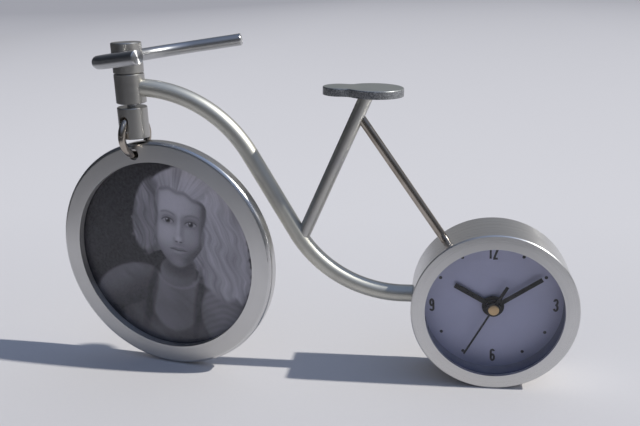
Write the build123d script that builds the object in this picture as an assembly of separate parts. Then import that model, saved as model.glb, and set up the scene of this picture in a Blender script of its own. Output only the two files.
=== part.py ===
from build123d import *
import math
import os

# A desk clock in the shape of a bicycle. The rear wheel is a quartz clock, the front wheel is a round
# photo frame that hangs on a wire ring from the fork, and the front end steers.
# Millimetres. The origin is on the table under the clock, in the bicycle's middle plane.
# +X runs from the front wheel to the clock, +Z is up, and the clock and the picture face -Y.

# Clock case
case_radius = 32.0
case_wall = 3.45
case_depth = 23.0
case_front = -12.2
lip_width = 5.5
lip_thickness = 1.6
lip_dome = 0.3
dome_fullness = 0.62
case_chamfer = 0.35
inner_fit = 0.15

# What lies in the case from the front to the back
crystal_thickness = 1.2
hand_space = 6.2
spacer_wall = 1.5
dial_thickness = 0.6
plate_thickness = 1.0
train_plate_thickness = 0.6
motion_wheel_thickness = 0.8
train_wheel_thickness = 0.5
wheel_gap = 0.2
stator_thickness = 0.8
floor_gap = 0.5
housing_gap = 0.23
housing_wall = 1.0
notch_clearance = 1.0
housing_floor = 0.8
cover_thickness = 1.5
retainer_thickness = 0.8
retainer_groove = 0.85
retainer_width = 2.0
retainer_gap_angle = 14.0

# Hands, at the angles clockwise from twelve that they are stored at
hour_hand_length = 17.2
hour_hand_width = 2.0
hour_hand_angle = -60.5
minute_hand_length = 21.9
minute_hand_width = 1.7
minute_hand_angle = 55.7
second_hand_length = 22.6
second_hand_width = 0.7
second_tail_length = 10.6
second_tail_width = 1.2
second_hand_angle = -151.5
hand_thickness = 0.4
hand_pitch = 1.3
hand_lift = 1.0
hand_hub_rise = 0.7
hour_hub_radius = 4.3
minute_hub_radius = 3.5
second_hub_radius = 2.8
second_cap_radius = 2.1
second_cap_height = 0.8

# Wheel train and motion work of the quartz movement
running_clearance = 0.08
arbor_radius = 0.4
second_arbor_radius = 0.45
minute_pipe_radius = 1.1
hour_pipe_radius = 1.8
bush_wall = 0.9
bush_rise = 0.4
motion_distance = 9.6
motion_direction = 270.0
cannon_teeth = 12
reverser_teeth = 36
reverser_pinion_teeth = 10
hour_teeth = 40
setting_teeth = 12
setting_direction = 180.0
train_distance = 8.0
third_direction = 160.0
fifth_direction = 60.0
rotor_distance = 6.8
rotor_direction = 30.0
train_pinion_teeth = 8
centre_teeth = 64
third_teeth = 60
second_teeth = 32
fifth_teeth = 60
tooth_addendum = 0.7
tooth_dedendum = 0.95
tooth_share_root = 0.56
tooth_share_tip = 0.2
rotor_magnet_radius = 1.9
rotor_air_gap = 0.4

# Coil, stator, circuit board and battery
stator_left = -11.0
stator_right = 13.0
stator_bottom = 7.6
stator_top = 13.0
stator_leg_width = 3.0
coil_height = 15.2
coil_core_width = 2.0
coil_radius = 1.6
coil_length = 17.0
board_width = 8.5
board_height = 11.5
board_u = -13.25
board_v = 0.75
chip_radius = 1.6
chip_height = 0.3
battery_radius = 5.8
battery_height = 5.4
battery_u = 11.0
battery_v = -9.5
battery_clearance = 0.4
contact_thickness = 0.2
contact_width = 4.0
contact_length = 11.0
contact_sunk = 0.1
side_contact_height = 6.0
side_contact_rise = 4.0

# Back cover, its screws, the battery cap and the setting knob
screw_inset = 5.0
screw_angles = (100.0, 220.0, 355.0)
boss_radius = 1.9
boss_clearance = 0.3
cover_screw_radius = 0.8
cover_screw_length = 5.0
cover_screw_head_radius = 1.8
cover_screw_head_height = 1.0
screw_clearance = 0.3
screw_slot_width = 0.5
screw_slot_depth = 0.5
battery_cap_radius = 7.5
battery_lug_reach = 1.1
battery_lug_thickness = 0.5
battery_lug_angle = 28.0
battery_notch_play = 4.0
battery_cap_turn = 60.0
coin_slot_width = 1.4
coin_slot_length = 10.0
coin_slot_depth = 0.6
setting_stem_radius = 1.0
knob_radius = 4.2
knob_height = 3.0
knob_seat = 0.25
knob_grip_depth = 1.6
knob_flutes = 18
knob_flute_radius = 0.35

# Bicycle frame
head_radius = 5.9
head_height = 11.5
edge_chamfer = 0.3
tube_radius = 3.45
tube_wall = 1.0
tube_entry = 6.0
tube_rise = 2.5
tube_slope = 61.0
tube_corner_reach = 32.0
tube_straight = 3.54
upper_bend_radius = 51.4
lower_bend_radius = 48.6
plug_length = 6.8
tube_screw_radius = 1.25
tube_screw_length = 7.5
tube_screw_head_radius = 1.9
tube_screw_head_height = 1.3
seat_tube_radius = 2.65
seat_tube_length = 64.0
seat_tube_lean = 65.1
seat_foot_angle = 33.0
saddle_thickness = 3.0
saddle_length = 30.6
saddle_nose_radius = 6.8
saddle_rear_radius = 11.0
saddle_waist_fillet = 2.5
saddle_nose_reach = 16.8
saddle_tilt = 2.1
saddle_edge = 0.45
stay_radius = 1.75
stay_thread_radius = 1.2
stay_top_length = 56.0
stay_case_angle = 126.7
stay_nut_radius = 1.9
stay_nut_height = 1.5
stay_thread_past_nut = 0.3
seat_relief = 0.05

# Steering, turned as it is stored, seen from above with counterclockwise positive
steering_gap = 0.2
stem_height = 11.7
spindle_radius = 1.9
spindle_in_stem = 3.2
fork_gap = 1.5
fork_drop = 0.72
fork_height = 12.3
fork_wall = 1.5
fork_web = 2.0
bar_radius = 2.44
bar_height = 5.95
bar_root = 1.9
bar_corner = 23.8
bar_bend_radius = 20.0
bar_end_side = 35.2
bar_end_back = 31.2
bar_end_rise = 4.1
bar_turn = -15.0
frame_turn = -11.0

# Photo frame that makes the front wheel
frame_opening_radius = 40.3
frame_rim = 8.2
frame_side = 5.0
frame_dome = 0.4
frame_shoulder = 1.4
shoulder_depth = 1.7
frame_edge = 0.35
picture_recess = 3.0
rebate_lip = 1.0
rebate_clearance = 0.15
lens_thickness = 0.8
print_thickness = 0.2
backing_thickness = 0.6
trail = 9.0
rim_hole_radius = 2.25
rim_hole_reach = 3.65
thumb_notch_radius = 6.0

# Wire ring between fork and photo frame
link_radius = 7.7
link_wire_radius = 1.5
link_turn = -19.0
link_drop = 0.3
link_slot_side = 0.45
link_slot_end = 0.5

os.makedirs("parts", exist_ok=True)

clock_height = case_radius
case_back = case_front + case_depth
case_bore_radius = case_radius - case_wall
case_opening_radius = case_radius - lip_width
inner_radius = case_bore_radius - inner_fit


def save(node, shape):
    export_step(shape, f"parts/{node}.step")


def along_depth(sketch, front, back):
    """Extrude a sketch drawn in the upright X, Z plane from one depth to another."""
    return extrude(Plane.XZ.offset(-back) * sketch, amount=back - front)


def polar(distance, degrees):
    return distance * math.cos(math.radians(degrees)), distance * math.sin(math.radians(degrees))


def at_clock(place, sketch):
    return Pos(place[0], clock_height + place[1]) * sketch


def disc(radius, front, back, place=(0, 0)):
    return along_depth(at_clock(place, Circle(radius)), front, back)


def turned_on_clock(profile):
    """Turn a profile of radius and depth about the clock's axis."""
    return Pos(0, 0, clock_height) * revolve(make_face(profile), Axis.Y, 360)


# Heights from the table up: photo frame, wire ring, fork, head collar, steering stem
frame_radius = frame_opening_radius + frame_rim
rim_hole_distance = frame_opening_radius + rim_hole_reach
rim_hole_rise = math.sqrt(rim_hole_distance**2 - trail**2)
link_height = frame_radius + rim_hole_rise - link_drop + link_radius
fork_bottom = link_height - fork_drop
fork_top = fork_bottom + fork_height
web_bottom = fork_top - fork_web
head_bottom = fork_top + fork_gap
head_top = head_bottom + head_height
stem_bottom = head_top + steering_gap
stem_top = stem_bottom + stem_height
tube_top_height = head_bottom + tube_entry
tube_low_height = clock_height + tube_rise

# Lengths from the clock forward: a short straight tube, the lower bend, the slope, the upper bend, the head
lower_bend_x = -case_radius - tube_straight
lower_corner_x = lower_bend_x - lower_bend_radius * math.tan(math.radians(tube_slope / 2))
upper_corner_x = lower_corner_x - (tube_top_height - tube_low_height) / math.tan(math.radians(tube_slope))
head_x = upper_corner_x - tube_corner_reach


def upright(radius, bottom, top):
    return Pos(head_x, 0, bottom) * extrude(Circle(radius), amount=top - bottom)


# Depths of the stack in the case
lip_back = case_front + lip_thickness
crystal_back = lip_back + crystal_thickness
dial_front = crystal_back + hand_space
dial_back = dial_front + dial_thickness
plate_back = dial_back + plate_thickness
hour_front = plate_back + wheel_gap
hour_back = hour_front + motion_wheel_thickness
reverser_front = hour_back + wheel_gap
reverser_back = reverser_front + motion_wheel_thickness
bridge_front = reverser_back + wheel_gap
bridge_back = bridge_front + train_plate_thickness
centre_front = bridge_back + wheel_gap
centre_back = centre_front + train_wheel_thickness
third_front = centre_back + wheel_gap
third_back = third_front + train_wheel_thickness
second_front = third_back + wheel_gap
second_back = second_front + train_wheel_thickness
fifth_front = second_back + wheel_gap
fifth_back = fifth_front + train_wheel_thickness
stator_front = fifth_back + wheel_gap
stator_back = stator_front + stator_thickness
floor_front = stator_back + floor_gap
housing_back = floor_front + housing_floor
cover_back = housing_back + cover_thickness
retainer_back = cover_back + retainer_thickness
pivot_back = floor_front + housing_floor / 2
pivot_front = plate_back - plate_thickness / 2

# Places of the arbors in the movement, right and up from the clock's axis
third_at = polar(train_distance, third_direction)
fifth_at = polar(train_distance, fifth_direction)
rotor_step = polar(rotor_distance, rotor_direction)
rotor_at = (fifth_at[0] + rotor_step[0], fifth_at[1] + rotor_step[1])
reverser_at = polar(motion_distance, motion_direction)
reverser_pitch = motion_distance * reverser_teeth / (reverser_teeth + cannon_teeth)
cannon_pitch = motion_distance - reverser_pitch
setting_pitch = reverser_pitch * setting_teeth / reverser_teeth
setting_step = polar(reverser_pitch + setting_pitch, setting_direction)
setting_at = (reverser_at[0] + setting_step[0], reverser_at[1] + setting_step[1])
battery_at = (battery_u, battery_v)

# The movement's cup clears the stator's corner and the battery's pocket
pocket_radius = battery_radius + battery_clearance
coil_top = coil_height + coil_core_width / 2
stator_reach = math.hypot(stator_right, coil_top)
battery_reach = math.hypot(battery_u, battery_v) + pocket_radius
housing_radius = max(stator_reach, battery_reach) + housing_gap + housing_wall

# Main tube: level at the head, down a slope, level again into the clock
tube_path = FilletPolyline(
    (head_x, 0, tube_top_height),
    (upper_corner_x, 0, tube_top_height),
    (lower_corner_x, 0, tube_low_height),
    (0, 0, tube_low_height),
    radius=[upper_bend_radius, lower_bend_radius],
)
tube_start = Plane((head_x, 0, tube_top_height), z_dir=(1, 0, 0))
tube_rod = sweep(tube_start * Circle(tube_radius), tube_path)
tube_bore = sweep(tube_start * Circle(tube_radius - tube_wall), tube_path)
case_blank = disc(case_radius, case_front, case_back)
head_blank = upright(head_radius, head_bottom, head_top)

# Tube end fixing: a screw from inside the clock case into a plug in the tube
tube_screw_reach = tube_rise + tube_screw_head_radius
tube_screw_seat = math.sqrt(case_bore_radius**2 - tube_screw_reach**2) - seat_relief
tube_axis_plane = Plane((-tube_screw_seat, 0, tube_low_height), z_dir=(-1, 0, 0))
tube_screw_shank = tube_axis_plane * extrude(Circle(tube_screw_radius), amount=tube_screw_length)
tube_screw_head = tube_axis_plane * extrude(Circle(tube_screw_head_radius), amount=-tube_screw_head_height)
plug_blank = tube_axis_plane * extrude(Circle(tube_radius - tube_wall), amount=plug_length)

# Seat tube, leaning back from the lower bend of the main tube
lower_bend_height = tube_low_height + lower_bend_radius
foot_step = polar(lower_bend_radius, 180 + seat_foot_angle)
seat_foot = Vector(lower_bend_x + foot_step[0], 0, lower_bend_height + foot_step[1])
lean = polar(1, seat_tube_lean)
seat_direction = Vector(lean[0], 0, lean[1])
seat_top = seat_foot + seat_direction * seat_tube_length
seat_plane = Plane(seat_foot, z_dir=seat_direction)
saddle_overlap = saddle_thickness / 2
seat_rod = seat_plane * extrude(Circle(seat_tube_radius), amount=seat_tube_length + saddle_overlap)

# Saddle: a flat plate of two round lobes with a waist
lobe_spacing = saddle_length - saddle_nose_radius - saddle_rear_radius
nose_x = saddle_nose_radius - saddle_nose_reach
saddle_lobes = Pos(nose_x, 0) * Circle(saddle_nose_radius)
saddle_lobes += Pos(nose_x + lobe_spacing, 0) * Circle(saddle_rear_radius)
saddle = extrude(saddle_lobes, amount=saddle_thickness)
waist_edges = [edge for edge in saddle.edges().filter_by(Axis.Z) if abs(edge.center().Y) > saddle_edge]
saddle = fillet(waist_edges, saddle_waist_fillet)
saddle = fillet(saddle.edges().group_by(Axis.Z)[-1], saddle_edge)
saddle = Pos(*seat_top) * Rot(0, saddle_tilt, 0) * saddle

# Seat stay: a bright rod from the seat tube to the clock case
stay_top = seat_foot + seat_direction * stay_top_length
stay_mark = polar(case_radius, stay_case_angle)
stay_foot = Vector(stay_mark[0], 0, clock_height + stay_mark[1])
stay_direction = (stay_foot - stay_top).normalized()
stay_length = (stay_foot - stay_top).length
stay_plane = Plane(stay_top, z_dir=stay_direction)
stay_overlap = case_radius - case_bore_radius
stay_rod = stay_plane * extrude(Circle(stay_radius), amount=stay_length + stay_overlap)
nut_sag = case_bore_radius - math.sqrt(case_bore_radius**2 - (stay_nut_radius + seat_relief)**2)
nut_start = stay_length + stay_overlap + 2 * nut_sag
nut_plane = stay_plane.offset(nut_start)
stay_thread_length = nut_start + stay_nut_height + stay_thread_past_nut - stay_length
stay_thread_plane = stay_plane.offset(stay_length - stay_radius)
stay_thread = stay_thread_plane * extrude(
    Circle(stay_thread_radius), amount=stay_thread_length + stay_radius
)
stay_nut = nut_plane * extrude(Circle(stay_nut_radius), amount=stay_nut_height)

save("main_tube", tube_rod - tube_bore - head_blank - case_blank)
save("tube_plug", plug_blank - case_blank - tube_screw_shank)
save("tube_screw", tube_screw_shank + tube_screw_head)
save("seat_tube", seat_rod - tube_rod - saddle)
save("saddle", saddle)
save("seat_stay", (stay_rod - case_blank - seat_rod) + stay_thread)
save("stay_nut", stay_nut - stay_thread)

# Head collar that the main tube is welded to, bored for the steering spindle
head_collar = head_blank - upright(spindle_radius + running_clearance, head_bottom, head_top)
head_rims = head_collar.edges().filter_by(GeomType.CIRCLE).group_by(SortBy.RADIUS)[-1]
save("head_collar", chamfer(head_rims, edge_chamfer))

# Clock case: one turned cup with a slightly domed front lip
lip_outer = (case_radius - case_chamfer, case_front + lip_dome)
lip_inner = (case_opening_radius, case_front)
lip_middle = ((lip_outer[0] + lip_inner[0]) / 2, case_front + lip_dome * (1 - dome_fullness))
groove_radius = case_bore_radius + retainer_groove
case_profile = ThreePointArc(lip_inner, lip_middle, lip_outer) + Polyline(
    lip_outer,
    (case_radius, case_front + lip_dome + case_chamfer),
    (case_radius, case_back - case_chamfer),
    (case_radius - case_chamfer, case_back),
    (case_bore_radius, case_back),
    (case_bore_radius, retainer_back),
    (groove_radius, retainer_back),
    (groove_radius, cover_back),
    (case_bore_radius, cover_back),
    (case_bore_radius, lip_back),
    (case_opening_radius, lip_back),
    lip_inner,
)
save("clock_case", turned_on_clock(case_profile) - tube_screw_shank - stay_thread)
save("crystal", disc(inner_radius, lip_back, crystal_back))
save("dial_spacer", disc(inner_radius, crystal_back, dial_front)
     - disc(inner_radius - spacer_wall, crystal_back, dial_front))


def wheel(teeth, pitch_radius, front, back, place, towards):
    """A wheel with a tooth on the line to the pinion that it meets."""
    module = 2 * pitch_radius / teeth
    tip = pitch_radius + tooth_addendum * module
    root = pitch_radius - tooth_dedendum * module
    half_pitch = 180 / teeth
    outline = []
    for tooth in range(teeth):
        middle = towards + 2 * half_pitch * tooth
        outline.append(polar(root, middle - tooth_share_root * half_pitch))
        outline.append(polar(tip, middle - tooth_share_tip * half_pitch))
        outline.append(polar(tip, middle + tooth_share_tip * half_pitch))
        outline.append(polar(root, middle + tooth_share_root * half_pitch))
    return along_depth(at_clock(place, Polygon(*outline, align=None)), front, back)


def pinion(teeth, pitch_radius, front, back, place, towards):
    """A pinion with a gap on the line to the wheel that it meets."""
    return wheel(teeth, pitch_radius, front, back, place, towards + 180 / teeth)


# Pitch radii that close each pair of wheels on its centre distance
hour_pitch = motion_distance * hour_teeth / (hour_teeth + reverser_pinion_teeth)
centre_pitch = train_distance * centre_teeth / (centre_teeth + train_pinion_teeth)
third_pitch = train_distance * third_teeth / (third_teeth + train_pinion_teeth)
second_pitch = train_distance * second_teeth / (second_teeth + train_pinion_teeth)
fifth_pitch = rotor_distance * fifth_teeth / (fifth_teeth + train_pinion_teeth)

# Depths of the hands
hour_hand_back = dial_front - hand_lift
minute_hand_back = hour_hand_back - hand_pitch
second_hand_back = minute_hand_back - hand_pitch
hour_hand_front = hour_hand_back - hand_thickness
minute_hub_front = minute_hand_back - hand_thickness - hand_hub_rise
second_hub_front = second_hand_back - hand_thickness - hand_hub_rise
second_cap_front = second_hub_front - second_cap_height
minute_bore_radius = second_arbor_radius + running_clearance
hour_bore_radius = minute_pipe_radius + running_clearance
bush_bore_radius = hour_pipe_radius + running_clearance
bush_radius = bush_bore_radius + bush_wall


def hand_blade(length, width, angle):
    return Rot(0, 0, -angle) * Pos(0, length / 2) * Rectangle(width, length)


# Dial and the movement's front plate, whose bush the hands' pipes run in
save("dial", disc(inner_radius, dial_front, dial_back) - disc(bush_radius, dial_front, dial_back))


def pivot_hole(place, radius, front, back):
    return disc(radius + running_clearance, front, back, place)


movement_plate = disc(inner_radius, dial_back, plate_back)
movement_plate += disc(bush_radius, dial_front - bush_rise, plate_back)
movement_plate -= disc(bush_bore_radius, dial_front - bush_rise, plate_back)
movement_plate -= pivot_hole(reverser_at, arbor_radius, dial_back, plate_back)
movement_plate -= pivot_hole(setting_at, setting_stem_radius, dial_back, plate_back)
plate_notch_depth = case_bore_radius - housing_radius - notch_clearance
plate_middle = (dial_back + plate_back) / 2
tube_notch = Pos(-inner_radius, plate_middle, tube_low_height) * Box(
    2 * plate_notch_depth, plate_thickness, 2 * tube_screw_head_radius + notch_clearance
)
nut_middle = nut_plane.origin + stay_direction * (stay_nut_height / 2)
stay_notch = Plane(nut_middle, z_dir=stay_direction) * Cylinder(
    stay_nut_radius + notch_clearance, plate_notch_depth
)
screw_circle_radius = case_bore_radius - screw_inset
boss_places = [polar(screw_circle_radius, angle) for angle in screw_angles]
movement_plate = movement_plate - tube_notch - stay_notch
for boss_at in boss_places:
    movement_plate += disc(boss_radius, plate_back, housing_back, boss_at)
    movement_plate -= disc(cover_screw_radius, cover_back - cover_screw_length, housing_back, boss_at)
save("movement_plate", movement_plate)

# Train plate between motion work and wheel train, with a pocket for the battery
contact_front = bridge_back - contact_thickness - contact_sunk
battery_front = contact_front + contact_thickness
train_plate = disc(housing_radius - housing_wall, bridge_front, bridge_back)
train_plate -= disc(hour_bore_radius, bridge_front, bridge_back)
train_plate -= disc(pocket_radius, contact_front, bridge_back, battery_at)
train_plate -= pivot_hole(setting_at, setting_stem_radius, bridge_front, bridge_back)
for arbor_at in (reverser_at, third_at, fifth_at, rotor_at):
    train_plate -= pivot_hole(arbor_at, arbor_radius, bridge_front, bridge_back)
boss_room = [disc(boss_radius + boss_clearance, plate_back, housing_back, boss_at) for boss_at in boss_places]
save("train_plate", train_plate - boss_room)

# Rear cup of the movement
movement_housing = disc(housing_radius, plate_back, housing_back)
movement_housing -= disc(housing_radius - housing_wall, plate_back, floor_front)
movement_housing -= disc(pocket_radius, floor_front, housing_back, battery_at)
movement_housing -= pivot_hole(setting_at, setting_stem_radius, floor_front, housing_back)
movement_housing -= pivot_hole((0, 0), second_arbor_radius, floor_front, pivot_back)
for arbor_at in (third_at, fifth_at, rotor_at):
    movement_housing -= pivot_hole(arbor_at, arbor_radius, floor_front, pivot_back)
save("movement_housing", movement_housing - boss_room)

# Second hand, its cap and the wheel on its arbor
second_arbor = disc(second_arbor_radius, second_hub_front, pivot_back)
second_wheel = second_arbor + wheel(
    second_teeth, second_pitch, second_front, second_back, (0, 0), fifth_direction
)
second_wheel += pinion(
    train_pinion_teeth, train_distance - third_pitch, third_front, third_back, (0, 0), third_direction
)
second_outline = hand_blade(second_hand_length, second_hand_width, second_hand_angle)
second_outline += hand_blade(second_tail_length, second_tail_width, second_hand_angle + 180)
second_hand = along_depth(
    at_clock((0, 0), second_outline), second_hand_back - hand_thickness, second_hand_back
)
second_hand += disc(second_hub_radius, second_hub_front, second_hand_back)
save("second_wheel", second_wheel)
save("second_hand", second_hand - second_arbor)
save("second_cap", disc(second_cap_radius, second_cap_front, second_hub_front))

# Wheels between the motor and the minute hand
third_wheel = disc(arbor_radius, bridge_front, pivot_back, third_at)
third_wheel += wheel(third_teeth, third_pitch, third_front, third_back, third_at, third_direction + 180)
third_wheel += pinion(
    train_pinion_teeth, train_distance - centre_pitch, centre_front, centre_back, third_at,
    third_direction + 180,
)
save("third_wheel", third_wheel)
centre_wheel = wheel(centre_teeth, centre_pitch, centre_front, centre_back, (0, 0), third_direction)
save("centre_wheel", centre_wheel - disc(hour_bore_radius, centre_front, centre_back))
fifth_wheel = disc(arbor_radius, bridge_front, pivot_back, fifth_at)
fifth_wheel += wheel(fifth_teeth, fifth_pitch, fifth_front, fifth_back, fifth_at, rotor_direction)
fifth_wheel += pinion(
    train_pinion_teeth, train_distance - second_pitch, second_front, second_back, fifth_at,
    fifth_direction + 180,
)
save("fifth_wheel", fifth_wheel)
rotor_arbor = disc(arbor_radius, bridge_front, pivot_back, rotor_at)
rotor_pinion = rotor_arbor + pinion(
    train_pinion_teeth, rotor_distance - fifth_pitch, fifth_front, fifth_back, rotor_at,
    rotor_direction + 180,
)
save("rotor_pinion", rotor_pinion)
save("rotor_magnet", disc(rotor_magnet_radius, stator_front, stator_back, rotor_at) - rotor_arbor)

# Minute hand on its pipe, with the pinion that drives the motion work
minute_pipe = disc(minute_pipe_radius, minute_hub_front, centre_back)
minute_pipe_bore = disc(minute_bore_radius, minute_hub_front, centre_back)
cannon_pinion = minute_pipe + pinion(
    cannon_teeth, cannon_pitch, reverser_front, reverser_back, (0, 0), motion_direction
)
save("cannon_pinion", cannon_pinion - minute_pipe_bore)
minute_blade = hand_blade(minute_hand_length, minute_hand_width, minute_hand_angle)
minute_hand = along_depth(
    at_clock((0, 0), minute_blade), minute_hand_back - hand_thickness, minute_hand_back
)
minute_hand += disc(minute_hub_radius, minute_hub_front, minute_hand_back)
save("minute_hand", minute_hand - minute_pipe)

# Reversing wheel, hour wheel and hour hand
reverser_wheel = disc(arbor_radius, pivot_front, bridge_back, reverser_at)
reverser_wheel += wheel(
    reverser_teeth, reverser_pitch, reverser_front, reverser_back, reverser_at, motion_direction + 180
)
reverser_wheel += pinion(
    reverser_pinion_teeth, motion_distance - hour_pitch, hour_front, hour_back, reverser_at,
    motion_direction + 180,
)
save("reverser_wheel", reverser_wheel)
hour_pipe = disc(hour_pipe_radius, hour_hand_front, hour_back)
hour_wheel = hour_pipe + wheel(hour_teeth, hour_pitch, hour_front, hour_back, (0, 0), motion_direction)
save("hour_wheel", hour_wheel - disc(hour_bore_radius, hour_hand_front, hour_back))
hour_blade = hand_blade(hour_hand_length, hour_hand_width, hour_hand_angle) + Circle(hour_hub_radius)
hour_hand = along_depth(at_clock((0, 0), hour_blade), hour_hand_front, hour_hand_back)
save("hour_hand", hour_hand - hour_pipe)

# Stepping motor: stator plate, coil core and winding
coil_middle_u = (stator_left + stator_right) / 2
stator_outline = Pos(coil_middle_u, (stator_bottom + stator_top) / 2) * Rectangle(
    stator_right - stator_left, stator_top - stator_bottom
)
leg_height = coil_top - stator_bottom
for leg_u in (stator_left + stator_leg_width / 2, stator_right - stator_leg_width / 2):
    stator_outline += Pos(leg_u, stator_bottom + leg_height / 2) * Rectangle(stator_leg_width, leg_height)
stator_outline -= Pos(*rotor_at) * Circle(rotor_magnet_radius + rotor_air_gap)
save("stator", along_depth(at_clock((0, 0), stator_outline), stator_front, stator_back))
core_front = stator_front - stator_thickness
coil_core = along_depth(
    at_clock((coil_middle_u, coil_height), Rectangle(stator_right - stator_left, coil_core_width)),
    core_front, stator_front,
)
coil_start = (coil_middle_u - coil_length / 2, (core_front + stator_front) / 2, clock_height + coil_height)
coil_winding = Plane(coil_start, z_dir=(1, 0, 0)) * extrude(Circle(coil_radius), amount=coil_length)
save("coil_core", coil_core)
save("coil_winding", coil_winding - coil_core)

# Circuit board with its sealed chip
circuit_board = along_depth(
    at_clock((board_u, board_v), Rectangle(board_width, board_height)), stator_front, stator_back
)
circuit_board += disc(chip_radius, stator_back, stator_back + chip_height, (board_u, board_v))
save("circuit_board", circuit_board)

# Button cell and its two contacts
battery_back = battery_front + battery_height
save("battery", disc(battery_radius, battery_front, battery_back, battery_at))
contact_outline = Rectangle(contact_length, contact_width)
save("battery_contact", along_depth(at_clock(battery_at, contact_outline), contact_front, battery_front))
side_contact_u = battery_u - battery_radius - contact_thickness / 2
side_contact = Rectangle(contact_thickness, side_contact_height)
save("battery_side_contact", along_depth(
    at_clock((side_contact_u, battery_v), side_contact), bridge_back, bridge_back + side_contact_rise
))

# Back cover with a bayonet opening for the battery cap
cap_hole_radius = battery_cap_radius + running_clearance
lug_radius = battery_cap_radius + battery_lug_reach
lug_room_radius = lug_radius + inner_fit
lug_back = battery_back + battery_lug_thickness
lug_room_back = lug_back + inner_fit


def bayonet_sector(radius, angle, width_angle):
    """Two opposite sectors of a disc, as the lugs of the cap and the notches that let them in."""
    half = math.tan(math.radians(width_angle / 2)) * radius * 2
    wedge = Polygon((0, 0), (2 * radius, -half), (2 * radius, half), align=None)
    wedges = Rot(0, 0, angle) * wedge + Rot(0, 0, angle + 180) * wedge
    return wedges & Circle(radius)


back_cover = disc(inner_radius, housing_back, cover_back)
back_cover -= disc(cap_hole_radius, housing_back, cover_back, battery_at)
back_cover -= disc(lug_room_radius, housing_back, lug_room_back, battery_at)
notches = bayonet_sector(lug_room_radius, -battery_cap_turn, battery_lug_angle + battery_notch_play)
back_cover -= along_depth(at_clock(battery_at, notches), housing_back, cover_back)
back_cover -= pivot_hole(setting_at, setting_stem_radius, housing_back, cover_back)
cover_screws = []
for boss_at in boss_places:
    back_cover -= disc(cover_screw_radius + screw_clearance, housing_back, cover_back, boss_at)
    screw = disc(cover_screw_radius, cover_back - cover_screw_length, cover_back, boss_at)
    head_back = cover_back + cover_screw_head_height
    screw += disc(cover_screw_head_radius, cover_back, head_back, boss_at)
    slot = Rectangle(3 * cover_screw_head_radius, screw_slot_width)
    screw -= along_depth(at_clock(boss_at, slot), head_back - screw_slot_depth, head_back)
    cover_screws.append(screw)
save("back_cover", back_cover)
save("cover_screws", Compound(children=cover_screws))

battery_cap = disc(battery_cap_radius, battery_back, cover_back, battery_at)
lugs = bayonet_sector(lug_radius, 0, battery_lug_angle)
battery_cap += along_depth(at_clock(battery_at, lugs), battery_back, lug_back)
coin_slot = Rectangle(coin_slot_length, coin_slot_width)
battery_cap -= along_depth(at_clock(battery_at, coin_slot), cover_back - coin_slot_depth, cover_back)
save("battery_cap", battery_cap)

# Spring ring that holds the cover in the case
retainer = Circle(groove_radius - inner_fit)
retainer -= Circle(groove_radius - inner_fit - retainer_width)
retainer_cut = Polygon(
    (0, 0), polar(2 * groove_radius, 270 - retainer_gap_angle / 2),
    polar(2 * groove_radius, 270 + retainer_gap_angle / 2), align=None,
)
save("retaining_ring", along_depth(at_clock((0, 0), retainer - retainer_cut), cover_back, retainer_back))

# Setting stem and the knob on the back
knob_front = cover_back + knob_seat
knob_back = knob_front + knob_height
setting_stem = disc(setting_stem_radius, pivot_front, knob_front + knob_grip_depth, setting_at)
setting_stem += pinion(
    setting_teeth, setting_pitch, reverser_front, reverser_back, setting_at, setting_direction + 180
)
save("setting_stem", setting_stem)
set_knob = disc(knob_radius, knob_front, knob_back, setting_at)
for flute in range(knob_flutes):
    flute_step = polar(knob_radius, 360 * flute / knob_flutes)
    flute_at = (setting_at[0] + flute_step[0], setting_at[1] + flute_step[1])
    set_knob -= disc(knob_flute_radius, knob_front, knob_back, flute_at)
save("set_knob", set_knob - disc(setting_stem_radius, knob_front, knob_front + knob_grip_depth, setting_at))

# Steering stem, spindle and the two handlebar arms
spindle = upright(spindle_radius, web_bottom, stem_bottom + spindle_in_stem)
bar_axis = Vector(head_x, 0, stem_bottom + bar_height)


def bar_arm(side):
    """Half of the handlebar: straight out of the stem, then bent back and up to its cut end."""
    across = Vector(*polar(1, bar_turn + side))
    back = Vector(*polar(1, bar_turn))
    start = bar_axis + across * bar_root
    corner = bar_axis + across * bar_corner
    end = bar_axis + across * bar_end_side + back * bar_end_back + Vector(0, 0, bar_end_rise)
    path = FilletPolyline(start, corner, end, radius=bar_bend_radius)
    arm = sweep(Plane(start, z_dir=across) * Circle(bar_radius), path)
    return chamfer(arm.faces().filter_by(GeomType.PLANE).edges(), edge_chamfer)


handlebar_left = bar_arm(-90)
handlebar_right = bar_arm(90)
stem_blank = upright(head_radius, stem_bottom, stem_top)
stem_blank = chamfer(stem_blank.edges().filter_by(GeomType.CIRCLE), edge_chamfer)
save("steering_stem", stem_blank - spindle - handlebar_left - handlebar_right)
save("steering_spindle", spindle)
save("handlebar_left", handlebar_left)
save("handlebar_right", handlebar_right)

# Photo frame, made standing at the origin facing -Y, then turned and set on the steering axis
frame_middle = (frame_side - frame_dome) / 2
opening_back = picture_recess - frame_dome
rebate_radius = frame_opening_radius + rebate_lip
insert_radius = rebate_radius - rebate_clearance
outer_front = (frame_radius - frame_shoulder, 0)
shoulder_back = (frame_radius, shoulder_depth)
inner_front = (frame_opening_radius, -frame_dome)
dome_middle = ((outer_front[0] + inner_front[0]) / 2, -frame_dome * dome_fullness)
frame_front = ThreePointArc(inner_front, dome_middle, outer_front)
frame_front += TangentArc(shoulder_back, outer_front, tangent=(0, -1))
frame_profile = frame_front + Polyline(
    shoulder_back,
    (frame_radius, frame_side - frame_edge),
    (frame_radius - frame_edge, frame_side),
    (rebate_radius, frame_side),
    (rebate_radius, opening_back),
    (frame_opening_radius, opening_back),
    inner_front,
)
frame_at = Pos(head_x, 0, frame_radius) * Rot(0, 0, frame_turn) * Pos(trail, -frame_middle, 0)


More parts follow.
